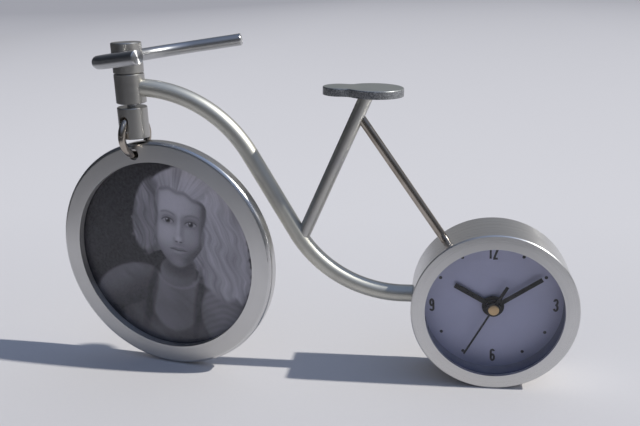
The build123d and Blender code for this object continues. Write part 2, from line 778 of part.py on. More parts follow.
def frame_disc(radius, front, back, place=(0, 0)):
    return extrude(Plane.XZ.offset(-back) * Pos(*place) * Circle(radius), amount=back - front)


rim_hole = frame_disc(rim_hole_radius, -2 * frame_dome, 2 * frame_side, (-trail, rim_hole_rise))
lens_back = opening_back + lens_thickness
print_back = lens_back + print_thickness
backing_back = print_back + backing_thickness
back_plate = frame_disc(insert_radius, backing_back, frame_side)
back_plate -= frame_disc(thumb_notch_radius, backing_back, frame_side, (0, -rebate_radius))
save("photo_frame_ring", frame_at * (revolve(make_face(frame_profile), Axis.Y, 360) - rim_hole))
save("photo_lens", frame_at * frame_disc(insert_radius, opening_back, lens_back))
save("photo_print", frame_at * frame_disc(insert_radius, lens_back, print_back))
save("photo_backing", frame_at * frame_disc(insert_radius, print_back, backing_back))
save("photo_back_plate", frame_at * back_plate)

# Wire ring that links the fork and the frame, in an upright plane through the steering axis
link_at = Pos(head_x, 0, link_height) * Rot(0, 0, link_turn)
hanger_ring = link_at * Rot(0, 90, 0) * Torus(link_radius, link_wire_radius)
save("hanger_ring", hanger_ring)

# Fork: a cup under the head, slotted on two sides for the wire ring
fork_bore_radius = head_radius - fork_wall
wire_low = math.sqrt((link_radius - link_wire_radius)**2 - head_radius**2)
wire_high = math.sqrt((link_radius + link_wire_radius)**2 - fork_bore_radius**2)
slot_low = link_height + wire_low - link_slot_end
slot_high = link_height + wire_high + link_slot_end
slot_width = 2 * (link_wire_radius + link_slot_side)
slot_sketch = Rot(0, 0, 90) * SlotOverall(slot_high - slot_low, slot_width)
link_slot = extrude(Plane.XZ * slot_sketch, amount=2 * head_radius, both=True)
link_slot = Pos(head_x, 0, (slot_low + slot_high) / 2) * Rot(0, 0, link_turn) * link_slot
fork_blank = upright(head_radius, fork_bottom, fork_top)
fork_blank = chamfer(fork_blank.edges().filter_by(GeomType.CIRCLE), edge_chamfer)
fork = fork_blank - upright(fork_bore_radius, fork_bottom, web_bottom) - link_slot - spindle
save("fork", fork)
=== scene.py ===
import math

import bmesh
import bpy
import numpy as np
from mathutils import Matrix, Vector


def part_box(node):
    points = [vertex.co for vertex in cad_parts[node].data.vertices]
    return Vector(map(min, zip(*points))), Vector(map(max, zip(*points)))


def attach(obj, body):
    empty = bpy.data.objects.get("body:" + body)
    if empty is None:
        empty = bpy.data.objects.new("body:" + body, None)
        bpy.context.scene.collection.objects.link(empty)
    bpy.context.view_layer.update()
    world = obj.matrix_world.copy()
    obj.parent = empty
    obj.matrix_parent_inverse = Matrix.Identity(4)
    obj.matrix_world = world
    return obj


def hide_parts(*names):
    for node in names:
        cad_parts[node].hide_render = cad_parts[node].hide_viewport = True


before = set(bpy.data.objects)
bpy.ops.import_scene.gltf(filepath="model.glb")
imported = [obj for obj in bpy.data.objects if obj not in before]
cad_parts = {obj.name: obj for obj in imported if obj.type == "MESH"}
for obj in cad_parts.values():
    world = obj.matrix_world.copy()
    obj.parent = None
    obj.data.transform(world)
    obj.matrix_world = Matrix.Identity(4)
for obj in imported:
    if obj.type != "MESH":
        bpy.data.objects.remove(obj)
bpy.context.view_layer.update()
MM = 0.001

# Main tube: the bicycle's backbone, one aluminium tube with two bends, level at the head and at the clock.
# Bent on a mandrel, blasted to a fine satin and clear anodised, welded to the head and screwed to the case.
TUBE_RADIUS = 3.45 * MM
TUBE_HIGH = 118.0 * MM
TUBE_LOW = 34.5 * MM
TUBE_SLOPE = math.radians(61.0)
UPPER_BEND = 51.4 * MM
LOWER_BEND = 48.6 * MM
CASE_RADIUS = 32.0 * MM
LOWER_LEVEL_RUN = 3.54 * MM
UPPER_LEVEL_RUN = 32.0 * MM
LOWER_BEND_END = -CASE_RADIUS - LOWER_LEVEL_RUN
LOWER_CORNER = LOWER_BEND_END - LOWER_BEND * math.tan(TUBE_SLOPE / 2)
UPPER_CORNER = LOWER_CORNER - (TUBE_HIGH - TUBE_LOW) / math.tan(TUBE_SLOPE)
HEAD_X = UPPER_CORNER - UPPER_LEVEL_RUN
INTO_COLLAR = 4.0 * MM
INTO_CASE = 1.6 * MM
BEND_STEPS = 40
ROD_SIDES = 64
SATIN_LIGHT = (0.62, 0.61, 0.55, 1.0)
SATIN_DEEP = (0.545, 0.535, 0.49, 1.0)
SATIN_SHADE = (0.47, 0.465, 0.455, 1.0)


def start_material(name):
    material = bpy.data.materials.new(name)
    material.use_nodes = True
    tree = material.node_tree
    return material, tree, tree.nodes["Principled BSDF"]


def fill(tree, socket, value):
    """Link a socket to another one or give it a constant."""
    if isinstance(value, bpy.types.NodeSocket):
        tree.links.new(value, socket)
    else:
        socket.default_value = value


def add_node(tree, kind, sockets=None, **settings):
    """Add a node, set its settings and fill its sockets."""
    made = tree.nodes.new(kind)
    for name, value in settings.items():
        setattr(made, name, value)
    for name, value in (sockets or {}).items():
        fill(tree, made.inputs[name], value)
    return made


def object_place(tree, centre=(0, 0, 0), turn=(0, 0, 0), stretch=(1, 1, 1)):
    """Object coordinates seen from a centre and a turned, stretched frame."""
    place = add_node(tree, "ShaderNodeTexCoord")
    mapping = add_node(tree, "ShaderNodeMapping", {
        "Vector": place.outputs["Object"], "Location": centre, "Rotation": turn, "Scale": stretch,
    }, vector_type="TEXTURE")
    return mapping.outputs["Vector"]


def noise(tree, place, scale, detail=3.0, dimensions="3D"):
    socket = "W" if dimensions == "1D" else "Vector"
    made = add_node(tree, "ShaderNodeTexNoise", {socket: place, "Scale": scale, "Detail": detail},
                    noise_dimensions=dimensions)
    return made.outputs["Fac"]


def spread(tree, value, low, high, start=0.3, end=0.7):
    """Map a value from one range onto another, by default the middle of a noise."""
    made = add_node(tree, "ShaderNodeMapRange", {
        "Value": value, "From Min": start, "From Max": end, "To Min": low, "To Max": high,
    })
    return made.outputs["Result"]


def mix_colours(tree, share, first, second):
    made = add_node(tree, "ShaderNodeMix", {0: share, 6: first, 7: second}, data_type="RGBA")
    return made.outputs[2]


def calculate(tree, operation, first, second=0.0):
    made = add_node(tree, "ShaderNodeMath", {0: first, 1: second}, operation=operation)
    return made.outputs["Value"]


def paint(tree, shader, tone, gloss, metallic=0.0):
    """Set a finish's colour, roughness and share of metal."""
    fill(tree, shader.inputs["Base Color"], tone)
    fill(tree, shader.inputs["Roughness"], gloss)
    shader.inputs["Metallic"].default_value = metallic


def add_bump(tree, shader, height, strength, distance):
    made = add_node(tree, "ShaderNodeBump", {"Height": height, "Strength": strength, "Distance": distance})
    tree.links.new(made.outputs["Normal"], shader.inputs["Normal"])


def stretch_gloss(tree, shader, direction):
    """Lay the long way of an uneven gloss along a direction in the object."""
    along = add_node(tree, "ShaderNodeVectorTransform", {"Vector": direction},
                     vector_type="VECTOR", convert_from="OBJECT", convert_to="WORLD")
    tree.links.new(along.outputs["Vector"], shader.inputs["Tangent"])


def satin_metal(name, light, deep, rough, grain=5200.0, drawn=0.0):
    """Blasted or polished metal: cloudy tone, fine grain, and gloss drawn out along a swept rod."""
    material, tree, shader = start_material(name)
    place = object_place(tree)
    cloud = noise(tree, place, 85.0)
    fine = noise(tree, place, grain, 2.0)
    tone = mix_colours(tree, spread(tree, cloud, 0.0, 1.0), light, deep)
    gloss = calculate(tree, "MULTIPLY", spread(tree, cloud, 0.96, 1.04), spread(tree, fine, *rough))
    paint(tree, shader, tone, gloss, 1.0)
    add_bump(tree, shader, fine, 0.05, 0.01 * MM)
    if drawn:
        run = add_node(tree, "ShaderNodeAttribute", attribute_name="run_direction")
        stretch_gloss(tree, shader, run.outputs["Vector"])
        shader.inputs["Anisotropic"].default_value = drawn
    return material


def add_object(name, data):
    made = bpy.data.objects.new(name, data)
    bpy.context.scene.collection.objects.link(made)
    return made


def bent_path():
    """The tube's axis from inside the head collar's wall to inside the case's wall."""
    points = [Vector((HEAD_X + INTO_COLLAR, 0, TUBE_HIGH))]
    upper_start = UPPER_CORNER - UPPER_BEND * math.tan(TUBE_SLOPE / 2)
    for step in range(BEND_STEPS + 1):
        turned = TUBE_SLOPE * step / BEND_STEPS
        fall = UPPER_BEND * (1 - math.cos(turned))
        points.append(Vector((upper_start + UPPER_BEND * math.sin(turned), 0, TUBE_HIGH - fall)))
    for step in range(BEND_STEPS + 1):
        turned = TUBE_SLOPE * (1 - step / BEND_STEPS)
        fall = LOWER_BEND * (1 - math.cos(turned))
        points.append(Vector((LOWER_BEND_END - LOWER_BEND * math.sin(turned), 0, TUBE_LOW + fall)))
    points.append(Vector((INTO_CASE - CASE_RADIUS, 0, TUBE_LOW)))
    return points


def open_tree(name, inputs):
    """Start a geometry node tree with named inputs and one shape as its result."""
    tree = bpy.data.node_groups.new(name, "GeometryNodeTree")
    for title, kind in inputs.items():
        tree.interface.new_socket(title, in_out="INPUT", socket_type="NodeSocket" + kind)
    tree.interface.new_socket("Shape", in_out="OUTPUT", socket_type="NodeSocketGeometry")
    return tree, tree.nodes.new("NodeGroupInput").outputs


def close_tree(tree, shape, finish):
    """Make the instances real, give them their finish and hand them out."""
    real = add_node(tree, "GeometryNodeRealizeInstances", {"Geometry": shape})
    dressed = add_node(tree, "GeometryNodeSetMaterial", {
        "Geometry": real.outputs["Geometry"], "Material": finish,
    })
    add_node(tree, "NodeGroupOutput", {"Shape": dressed.outputs["Geometry"]})
    return tree


def rod_tree():
    """Geometry nodes that sweep a round bar along a path of edges and note which way it runs."""
    tree, given = open_tree("rod_along_path", {
        "Path": "Geometry", "Radius": "Float", "Sides": "Int", "Finish": "Material",
    })
    path = add_node(tree, "GeometryNodeMeshToCurve", {"Mesh": given["Path"]})
    ring = add_node(tree, "GeometryNodeCurvePrimitiveCircle", {
        "Resolution": given["Sides"], "Radius": given["Radius"],
    })
    ahead = tree.nodes.new("GeometryNodeInputTangent")
    marked = add_node(tree, "GeometryNodeStoreNamedAttribute", {
        "Geometry": path.outputs["Curve"], "Name": "run_direction", "Value": ahead.outputs["Tangent"],
    }, data_type="FLOAT_VECTOR", domain="POINT")
    swept = add_node(tree, "GeometryNodeCurveToMesh", {
        "Curve": marked.outputs["Geometry"], "Profile Curve": ring.outputs["Curve"], "Fill Caps": True,
    })
    smooth = add_node(tree, "GeometryNodeSetShadeSmooth", {"Geometry": swept.outputs["Mesh"]})
    return close_tree(tree, smooth.outputs["Geometry"], given["Finish"])


def run_tree(tree, name, start_mesh, values):
    """Run a node tree on a mesh and keep the result as a plain mesh object."""
    carrier = add_object(name + "_carrier", start_mesh)
    modifier = carrier.modifiers.new("shape", "NODES")
    modifier.node_group = tree
    for item in tree.interface.items_tree:
        if item.name in values:
            modifier[item.identifier] = values[item.name]
    carrier.update_tag()
    view = bpy.context.evaluated_depsgraph_get()
    mesh = bpy.data.meshes.new_from_object(carrier.evaluated_get(view))
    bpy.data.objects.remove(carrier)
    mesh.name = name
    return add_object(name, mesh)


def path_mesh(name, points):
    mesh = bpy.data.meshes.new(name)
    mesh.from_pydata(points, [(i, i + 1) for i in range(len(points) - 1)], [])
    return mesh


drawn_tube = satin_metal("drawn_tube", SATIN_LIGHT, SATIN_DEEP, rough=(0.46, 0.52), drawn=0.2)
rod_nodes = rod_tree()
main_tube = run_tree(rod_nodes, "bent_main_tube", path_mesh("main_tube_axis", bent_path()),
                     {"Radius": TUBE_RADIUS, "Sides": ROD_SIDES, "Finish": drawn_tube})
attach(main_tube, "stand")
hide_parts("main_tube")


# Plug and screw that hold the tube's lower end to the clock: a turned aluminium plug pressed into the tube
# and a zinc plated steel screw put in from inside the case.
STEEL_LIGHT = (0.56, 0.57, 0.58, 1.0)
STEEL_DEEP = (0.44, 0.45, 0.47, 1.0)


def dress(material, *nodes):
    """Give CAD pieces a finish in place of the plain one that they came with."""
    for node in nodes:
        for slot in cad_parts[node].material_slots:
            slot.material = material


# Painted shade: a darker copy of the tube's satin, for the plug and the seat tube.
shaded_satin_tube = satin_metal("shaded_satin_tube", SATIN_DEEP, SATIN_SHADE, rough=(0.36, 0.42))
plated_steel = satin_metal("plated_steel", STEEL_LIGHT, STEEL_DEEP, rough=(0.16, 0.28), grain=3000.0)
dress(shaded_satin_tube, "tube_plug")
dress(plated_steel, "tube_screw", "stay_nut")


# Head collar: a short turned aluminium sleeve that the tube is welded to and the steering spindle runs in.
# The turning marks run round it and it has the same satin anodising, coloured darker as painted shade.
TURNED_LIGHT = (0.70, 0.695, 0.685, 1.0)
TURNED_DEEP = (0.60, 0.595, 0.59, 1.0)
# Painted shade: darker copies of the turned aluminium, for the head collar, the stem and the fork.
HEAD_SHADE_PALE = (0.475, 0.465, 0.44, 1.0)
HEAD_SHADE_DARK = (0.40, 0.39, 0.37, 1.0)
HEAD_CENTRE = (HEAD_X, 0, 117.0 * MM)
HEAD_AXIS = (0, 0, 1)


def vector_step(tree, operation, first, second=(0, 0, 0), result="Vector"):
    made = add_node(tree, "ShaderNodeVectorMath", {0: first, 1: second}, operation=operation)
    return made.outputs[result]


def turned_metal(name, centre, axis, light, deep, rough, lines, brushed, keen=None, polished=None):
    """Lathe-turned metal: fine lines round an axis, some of them keen, smoother beyond a polished radius."""
    material, tree, shader = start_material(name)
    place = object_place(tree, centre)
    sideways = vector_step(tree, "CROSS_PRODUCT", place, axis)
    radius = vector_step(tree, "LENGTH", sideways, result="Value")
    run = calculate(tree, "ADD", radius, vector_step(tree, "DOT_PRODUCT", place, axis, "Value"))
    mark = noise(tree, run, lines, 4.0, "1D")
    band = noise(tree, run, lines / 14, 2.0, "1D")
    cloud = noise(tree, place, 60.0)
    worn = calculate(tree, "ADD", spread(tree, mark, 0.0, 0.6), spread(tree, cloud, 0.0, 0.4))
    tone = mix_colours(tree, worn, light, deep)
    gloss = calculate(tree, "MULTIPLY", spread(tree, mark, *rough), spread(tree, band, 0.9, 1.1))
    share = brushed
    if keen is not None:
        fresh = spread(tree, mark, 0.0, 1.0, 0.60, 0.66)
        cut = calculate(tree, "MULTIPLY", fresh, calculate(tree, "SUBTRACT", gloss, keen))
        gloss = calculate(tree, "SUBTRACT", gloss, cut)
        share = calculate(tree, "MULTIPLY", fresh, brushed)
    if polished is not None:
        plain = spread(tree, radius, 1.0, 0.0, polished - 0.05 * MM, polished + 0.05 * MM)
        gloss = calculate(tree, "MULTIPLY", gloss, spread(tree, plain, 0.7, 1.0, 0.0, 1.0))
        share = calculate(tree, "MULTIPLY", plain, brushed)
    paint(tree, shader, tone, gloss, 1.0)
    add_bump(tree, shader, mark, 0.05, 0.01 * MM)
    stretch_gloss(tree, shader, sideways)
    fill(tree, shader.inputs["Anisotropic"], share)
    shader.inputs["Anisotropic Rotation"].default_value = 0.25
    return material


turned_head = turned_metal("turned_head", HEAD_CENTRE, HEAD_AXIS,
                           HEAD_SHADE_PALE, HEAD_SHADE_DARK, rough=(0.30, 0.36), lines=9000.0, brushed=0.3)
dress(turned_head, "head_collar")


# Seat tube: a straight aluminium tube, mitred and glued onto the lower bend, with the same satin finish,
# coloured darker as painted shade.
# The saddle sits on its top end.
dress(shaded_satin_tube, "seat_tube")


# Saddle: a flat aluminium plate punched to two round lobes. The top is satin and a little green grey,
# the sheared rim is rougher, darker and speckled.
SADDLE_TOP = (0.40, 0.43, 0.41, 1.0)
SADDLE_RIM = (0.20, 0.205, 0.21, 1.0)
SADDLE_SPECK = (0.46, 0.47, 0.48, 1.0)


def split(tree, vector):
    """The X, Y and Z of a vector."""
    return add_node(tree, "ShaderNodeSeparateXYZ", {"Vector": vector}).outputs


saddle_finish, tree, shader = start_material("punched_saddle")
place = object_place(tree)
speck = noise(tree, place, 2600.0, 2.0)
cloud = noise(tree, place, 120.0)
facing = split(tree, add_node(tree, "ShaderNodeTexCoord").outputs["Normal"])
flat_share = spread(tree, calculate(tree, "ABSOLUTE", facing["Z"]), 0.0, 1.0, 0.55, 0.9)
rim_tone = mix_colours(tree, spread(tree, speck, 0.0, 1.0, 0.42, 0.62), SADDLE_RIM, SADDLE_SPECK)
top_tone = mix_colours(tree, spread(tree, cloud, 0.0, 0.5), SADDLE_TOP, SATIN_DEEP)
saddle_tone = mix_colours(tree, flat_share, rim_tone, top_tone)
paint(tree, shader, saddle_tone, spread(tree, speck, 0.36, 0.50), 0.92)
add_bump(tree, shader, speck, 0.25, 0.06 * MM)
dress(saddle_finish, "saddle")


# Seat stay: a thin steel rod from the seat tube to the clock, nickel plated and polished along its length.
# Its threaded end goes through the case and takes a nut inside.
NICKEL_LIGHT = (0.46, 0.415, 0.365, 1.0)
NICKEL_DEEP = (0.31, 0.272, 0.23, 1.0)
polished_nickel = satin_metal("polished_nickel", NICKEL_LIGHT, NICKEL_DEEP, rough=(0.14, 0.18), grain=2400.0)
dress(polished_nickel, "seat_stay")


# Clock case: one cup turned from aluminium bar, with a slightly domed lip in front.
# The tool marks run round the lip and round the side, under clear anodising.
CLOCK_CENTRE = (0, 0, CASE_RADIUS)
CLOCK_AXIS = (0, 1, 0)
turned_case = turned_metal("turned_case", CLOCK_CENTRE, CLOCK_AXIS,
                           TURNED_LIGHT, TURNED_DEEP, rough=(0.31, 0.36), lines=7000.0, brushed=0.98,
                           keen=0.25)
dress(turned_case, "clock_case")


# Crystal: a flat disc of clear acrylic that lies against the lip from inside.
# Only its gloss shows, with a few soft ripples from moulding.
CLEAR_COOL = (0.97, 0.98, 1.0, 1.0)
CLEAR_WHITE = (1.0, 1.0, 1.0, 1.0)


def clear_sheet(name, rough, share):
    """A clear sheet of which only a share of its gloss is seen."""
    material, tree, shader = start_material(name)
    ripple = noise(tree, object_place(tree), 40.0, 1.0)
    tone = mix_colours(tree, ripple, CLEAR_COOL, CLEAR_WHITE)
    paint(tree, shader, tone, spread(tree, ripple, rough, rough * 1.6), 1.0)
    add_bump(tree, shader, ripple, 0.02, 0.2 * MM)
    shader.inputs["Alpha"].default_value = share
    return material


crystal_clear = clear_sheet("crystal_clear", rough=0.03, share=0.015)
dress(crystal_clear, "crystal")


# Spacer and dial: a grey plastic ring keeps the dial off the crystal. The dial is a thin card-backed disc
# with a silver coat, brushed from the centre outwards, and printed in black. Its bluish grey is painted
# shade.
SPACER_LIGHT = (0.22, 0.23, 0.30, 1.0)
SPACER_DEEP = (0.16, 0.165, 0.22, 1.0)
# Painted shade: the silver coat's two tones are made bluish grey.
DIAL_SHADE_PALE = (0.43, 0.44, 0.60, 1.0)
DIAL_SHADE_DARK = (0.375, 0.385, 0.53, 1.0)
INK_LIGHT = (0.018, 0.018, 0.026, 1.0)
INK_DEEP = (0.008, 0.008, 0.012, 1.0)
DIAL_FRONT = -3.2 * MM
INK_LIFT = 0.03 * MM
DOT_RADIUS = 0.66 * MM
DOT_CIRCLE = 23.3 * MM
DOT_SIDES = 28
HOURS = 12
HOURS_TO_NUMERAL = 3.0
PRINT_TURN = math.radians(1.9)
NUMERAL_STROKE = 0.86 * MM


def soft_matt(name, light, deep, rough, grain, relief, metallic=0.0):
    """Painted, printed or moulded surface: cloudy tone with a fine grain."""
    material, tree, shader = start_material(name)
    place = object_place(tree)
    cloud = noise(tree, place, grain / 20)
    fine = noise(tree, place, grain, 2.0)
    tone = mix_colours(tree, spread(tree, cloud, 0.0, 1.0), light, deep)
    paint(tree, shader, tone, spread(tree, fine, *rough), metallic)
    add_bump(tree, shader, fine, relief, 0.03 * MM)
    return material


spacer_plastic = soft_matt("spacer_plastic", SPACER_LIGHT, SPACER_DEEP,
                           rough=(0.35, 0.5), grain=2500.0, relief=0.1)
dress(spacer_plastic, "dial_spacer")
dial_coat, tree, shader = start_material("dial_coat")
place = object_place(tree, CLOCK_CENTRE)
parts = split(tree, place)
around = calculate(tree, "ARCTAN2", parts["Z"], parts["X"])
ray = noise(tree, around, 90.0, 4.0, "1D")
cloud = noise(tree, place, 70.0)
dial_share = calculate(tree, "ADD", spread(tree, ray, 0.0, 0.45), spread(tree, cloud, 0.0, 0.55))
# Painted shade: the coat's bluish grey tones, mixed by the brushing and a cloud.
dial_tone = mix_colours(tree, dial_share, DIAL_SHADE_PALE, DIAL_SHADE_DARK)
paint(tree, shader, dial_tone, spread(tree, ray, 0.40, 0.52), 0.25)
add_bump(tree, shader, ray, 0.05, 0.03 * MM)
dress(dial_coat, "dial")
printing_ink = soft_matt("printing_ink", INK_LIGHT, INK_DEEP, rough=(0.45, 0.6), grain=4000.0, relief=0.1)


def arc_points(centre, half_width, half_height, start, end, steps=18):
    angles = [math.radians(start + (end - start) * step / steps) for step in range(steps + 1)]
    return [(centre[0] + half_width * math.cos(a), centre[1] + half_height * math.sin(a)) for a in angles]


def numeral_strokes(figure):
    """Centre lines of a narrow figure, in millimetres from its middle."""
    if figure == 1:
        return [[(-0.50, 1.66), (0.12, 2.32), (0.12, -2.32)]]
    if figure == 2:
        top = arc_points((0, 1.52), 0.62, 0.80, 170, -30)
        return [top + [(-0.58, -1.94), (-0.60, -2.32), (0.68, -2.32)]]
    if figure == 3:
        upper = arc_points((-0.05, 1.22), 0.62, 1.10, 165, -70)
        lower = arc_points((-0.05, -1.14), 0.66, 1.18, 70, -165)
        return [upper + lower]
    hook = arc_points((0, 1.56), 0.62, 0.76, 10, 180)
    bowl = arc_points((0, -1.02), 0.62, 1.30, 180, 540, 36)
    if figure == 6:
        return [hook + bowl]
    return [[(-x, -z) for x, z in hook + bowl]]


def ribbon(builder, points, width, place, front, back):
    """A flat printed stroke along a line, closed on all sides."""
    line = [Vector((x, 0, z)) for x, z in points]
    rims = []
    for i, point in enumerate(line):
        before = line[max(i - 1, 0)]
        after = line[min(i + 1, len(line) - 1)]
        first = (point - before).normalized() if i else (after - point).normalized()
        second = (after - point).normalized() if i < len(line) - 1 else first
        ahead = (first + second).normalized()
        side = Vector((-ahead.z, 0, ahead.x)) * (width / 2 / max(ahead.dot(first), 0.5))
        ring = []
        for offset in (side, -side):
            for depth in (front, back):
                spot = place @ (point + offset)
                ring.append(builder.verts.new((spot.x, depth, spot.z)))
        rims.append((ring[0], ring[2], ring[3], ring[1]))
    for near, far in zip(rims, rims[1:]):
        for k in range(4):
            builder.faces.new((near[k], near[(k + 1) % 4], far[(k + 1) % 4], far[k]))
    builder.faces.new(rims[0])
    builder.faces.new(tuple(reversed(rims[-1])))


def finish_mesh(builder, name, material, smooth_angle=None):
    """Close a built mesh: outward normals, one finish, smooth where asked."""
    bmesh.ops.recalc_face_normals(builder, faces=builder.faces)
    mesh = bpy.data.meshes.new(name)
    builder.to_mesh(mesh)
    builder.free()
    mesh.materials.append(material)
    if smooth_angle is not None:
        mesh.shade_smooth()
        mesh.set_sharp_from_angle(angle=math.radians(smooth_angle))
    return add_object(name, mesh)


builder = bmesh.new()
numeral_places = ((1, -1.05, 21.9), (2, 1.05, 21.9), (3, 24.1, 0.0), (6, 0.0, -21.9), (9, -23.8, 0.0))
dial_turn = Matrix.Translation(CLOCK_CENTRE) @ Matrix.Rotation(-PRINT_TURN, 4, "Y")
for figure, right, up in numeral_places:
    figure_place = dial_turn @ Matrix.Translation((right * MM, 0, up * MM)) @ Matrix.Scale(MM, 4)
    for stroke in numeral_strokes(figure):
        ribbon(builder, stroke, NUMERAL_STROKE / MM, figure_place, DIAL_FRONT - INK_LIFT, DIAL_FRONT)
numerals = finish_mesh(builder, "dial_numerals", printing_ink)
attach(numerals, "stand")


def dot_tree():
    """Geometry nodes that set a printed dot at eight of the twelve hours."""
    tree, given = open_tree("hour_dots", {
        "Base": "Geometry", "Circle Radius": "Float", "Dot Radius": "Float", "Dot Height": "Float",
        "Ink": "Material",
    })
    hours = add_node(tree, "GeometryNodeMeshCircle", {"Vertices": HOURS, "Radius": given["Circle Radius"]})
    count = tree.nodes.new("GeometryNodeInputIndex")
    rest = calculate(tree, "MODULO", count.outputs["Index"], HOURS_TO_NUMERAL)
    wanted = add_node(tree, "FunctionNodeCompare", {"A": rest, "B": 0.5}, operation="GREATER_THAN")
    dot = add_node(tree, "GeometryNodeMeshCylinder", {
        "Vertices": DOT_SIDES, "Radius": given["Dot Radius"], "Depth": given["Dot Height"],
    })
    placed = add_node(tree, "GeometryNodeInstanceOnPoints", {
        "Points": hours.outputs["Mesh"], "Selection": wanted.outputs["Result"],
        "Instance": dot.outputs["Mesh"],
    })
    return close_tree(tree, placed.outputs["Instances"], given["Ink"])


dots = run_tree(dot_tree(), "dial_dots", bpy.data.meshes.new("dot_base"), {
    "Circle Radius": DOT_CIRCLE, "Dot Radius": DOT_RADIUS, "Dot Height": INK_LIFT, "Ink": printing_ink,
})
dots.data.transform(
    Matrix.Translation((0, DIAL_FRONT - INK_LIFT / 2, CLOCK_CENTRE[2]))
    @ Matrix.Rotation(-PRINT_TURN, 4, "Y") @ Matrix.Rotation(math.radians(90), 4, "X")
)
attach(dots, "stand")


# Quartz movement: moulded black plates and cup, brass and acetal wheels on steel arbors, a steel stator,
# an enamelled copper coil, a green board and a button cell between two spring contacts.
BLACK_LIGHT = (0.030, 0.030, 0.033, 1.0)
BLACK_DEEP = (0.016, 0.016, 0.018, 1.0)
ACETAL_LIGHT = (0.70, 0.69, 0.64, 1.0)
ACETAL_DEEP = (0.58, 0.57, 0.52, 1.0)
BRASS_LIGHT = (0.72, 0.53, 0.25, 1.0)
BRASS_DEEP = (0.55, 0.38, 0.16, 1.0)
BOARD_LIGHT = (0.03, 0.16, 0.07, 1.0)
BOARD_DEEP = (0.02, 0.10, 0.05, 1.0)
MAGNET_LIGHT = (0.10, 0.10, 0.11, 1.0)
MAGNET_DEEP = (0.06, 0.06, 0.065, 1.0)
COPPER_LIGHT = (0.62, 0.26, 0.11, 1.0)
COPPER_DEEP = (0.42, 0.15, 0.06, 1.0)
COIL_WIRE = 0.115 * MM
COIL_TURNS = 70
COIL_STEPS = 24
COIL_RADIUS = 1.6 * MM
COIL_LENGTH = 17.0 * MM
COIL_SIDES = 8
COIL_CLOSE = 1.04
moulded_black = soft_matt("moulded_black", BLACK_LIGHT, BLACK_DEEP,
                          rough=(0.38, 0.55), grain=1800.0, relief=0.22)
acetal = soft_matt("acetal_wheel", ACETAL_LIGHT, ACETAL_DEEP, rough=(0.32, 0.42), grain=2200.0, relief=0.05)
green_board = soft_matt("green_board", BOARD_LIGHT, BOARD_DEEP, rough=(0.25, 0.4), grain=1500.0, relief=0.1)
magnet = soft_matt("sintered_magnet", MAGNET_LIGHT, MAGNET_DEEP,
                   rough=(0.3, 0.5), grain=3000.0, relief=0.2, metallic=0.7)
brass = satin_metal("stamped_brass", BRASS_LIGHT, BRASS_DEEP, rough=(0.18, 0.30), grain=3200.0)
dress(moulded_black, "movement_plate", "train_plate", "movement_housing")
dress(acetal, "third_wheel", "fifth_wheel", "hour_wheel", "reverser_wheel", "rotor_pinion")
dress(brass, "second_wheel", "centre_wheel", "cannon_pinion", "setting_stem")
dress(plated_steel, "stator", "coil_core", "battery", "battery_contact", "battery_side_contact")
dress(green_board, "circuit_board")
dress(magnet, "rotor_magnet")
coil_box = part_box("coil_winding")
coil_middle = (Vector(coil_box[0]) + Vector(coil_box[1])) / 2
coil_path = []
for step in range(COIL_TURNS * COIL_STEPS + 1):
    share = step / (COIL_TURNS * COIL_STEPS)
    angle = 2 * math.pi * step / COIL_STEPS
    coil_path.append(coil_middle + Vector((
        (share - 0.5) * (COIL_LENGTH - 2 * COIL_WIRE),
        (COIL_RADIUS - COIL_WIRE) * math.cos(angle), (COIL_RADIUS - COIL_WIRE) * math.sin(angle),
    )))
enamelled = satin_metal("enamelled_copper", COPPER_LIGHT, COPPER_DEEP, rough=(0.2, 0.32), grain=2600.0)
coil = run_tree(rod_nodes, "wound_coil", path_mesh("coil_axis", coil_path),
                {"Radius": COIL_WIRE * COIL_CLOSE, "Sides": COIL_SIDES, "Finish": enamelled})
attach(coil, "stand")
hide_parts("coil_winding")


# Hands: stamped from thin aluminium and painted satin black, each on a stepped hub pressed on its pipe.
# The cap over the second hand's hub is a small domed disc of tan brass.
CAP_RADIUS = 2.1 * MM
CAP_BACK = -7.9 * MM
CAP_FRONT = -8.7 * MM
CAP_CROWN = 0.9
CAP_CROWN_DROP = 0.22
CAP_CROWN_STEPS = 8
CAP_SIDE = [(0.98, 0.36), (1.0, 0.5), (1.0, 1.0), (0.0, 1.0)]
CAP_LIGHT = (0.60, 0.44, 0.26, 1.0)
CAP_DEEP = (0.48, 0.34, 0.19, 1.0)
HAND_LIGHT = (0.014, 0.013, 0.014, 1.0)
HAND_DEEP = (0.009, 0.009, 0.010, 1.0)
hand_paint = soft_matt("hand_paint", HAND_LIGHT, HAND_DEEP, rough=(0.42, 0.50), grain=3500.0, relief=0.05)
hand_paint.node_tree.nodes["Principled BSDF"].inputs["Specular IOR Level"].default_value = 0.25
dress(hand_paint, "hour_hand", "minute_hand", "second_hand")


def lathe(name, profile, place, material, steps, smooth_angle):
    """Turn a closed profile of radius and depth about the Y axis."""
    builder = bmesh.new()
    rings = []
    for radius, depth in profile:
        if radius < 1e-9:
            rings.append([builder.verts.new(place @ Vector((0, depth, 0)))])
            continue
        ring = []
        for step in range(steps):
            angle = 2 * math.pi * step / steps
            spot = place @ Vector((radius * math.cos(angle), depth, radius * math.sin(angle)))
            ring.append(builder.verts.new(spot))
        rings.append(ring)
    for near, far in zip(rings, rings[1:]):
        for k in range(steps):
            n = (k + 1) % steps
            if len(near) == 1:
                builder.faces.new((near[0], far[k], far[n]))
            elif len(far) == 1:
                builder.faces.new((near[k], near[n], far[0]))
            else:
                builder.faces.new((near[k], near[n], far[n], far[k]))
    return finish_mesh(builder, name, material, smooth_angle)


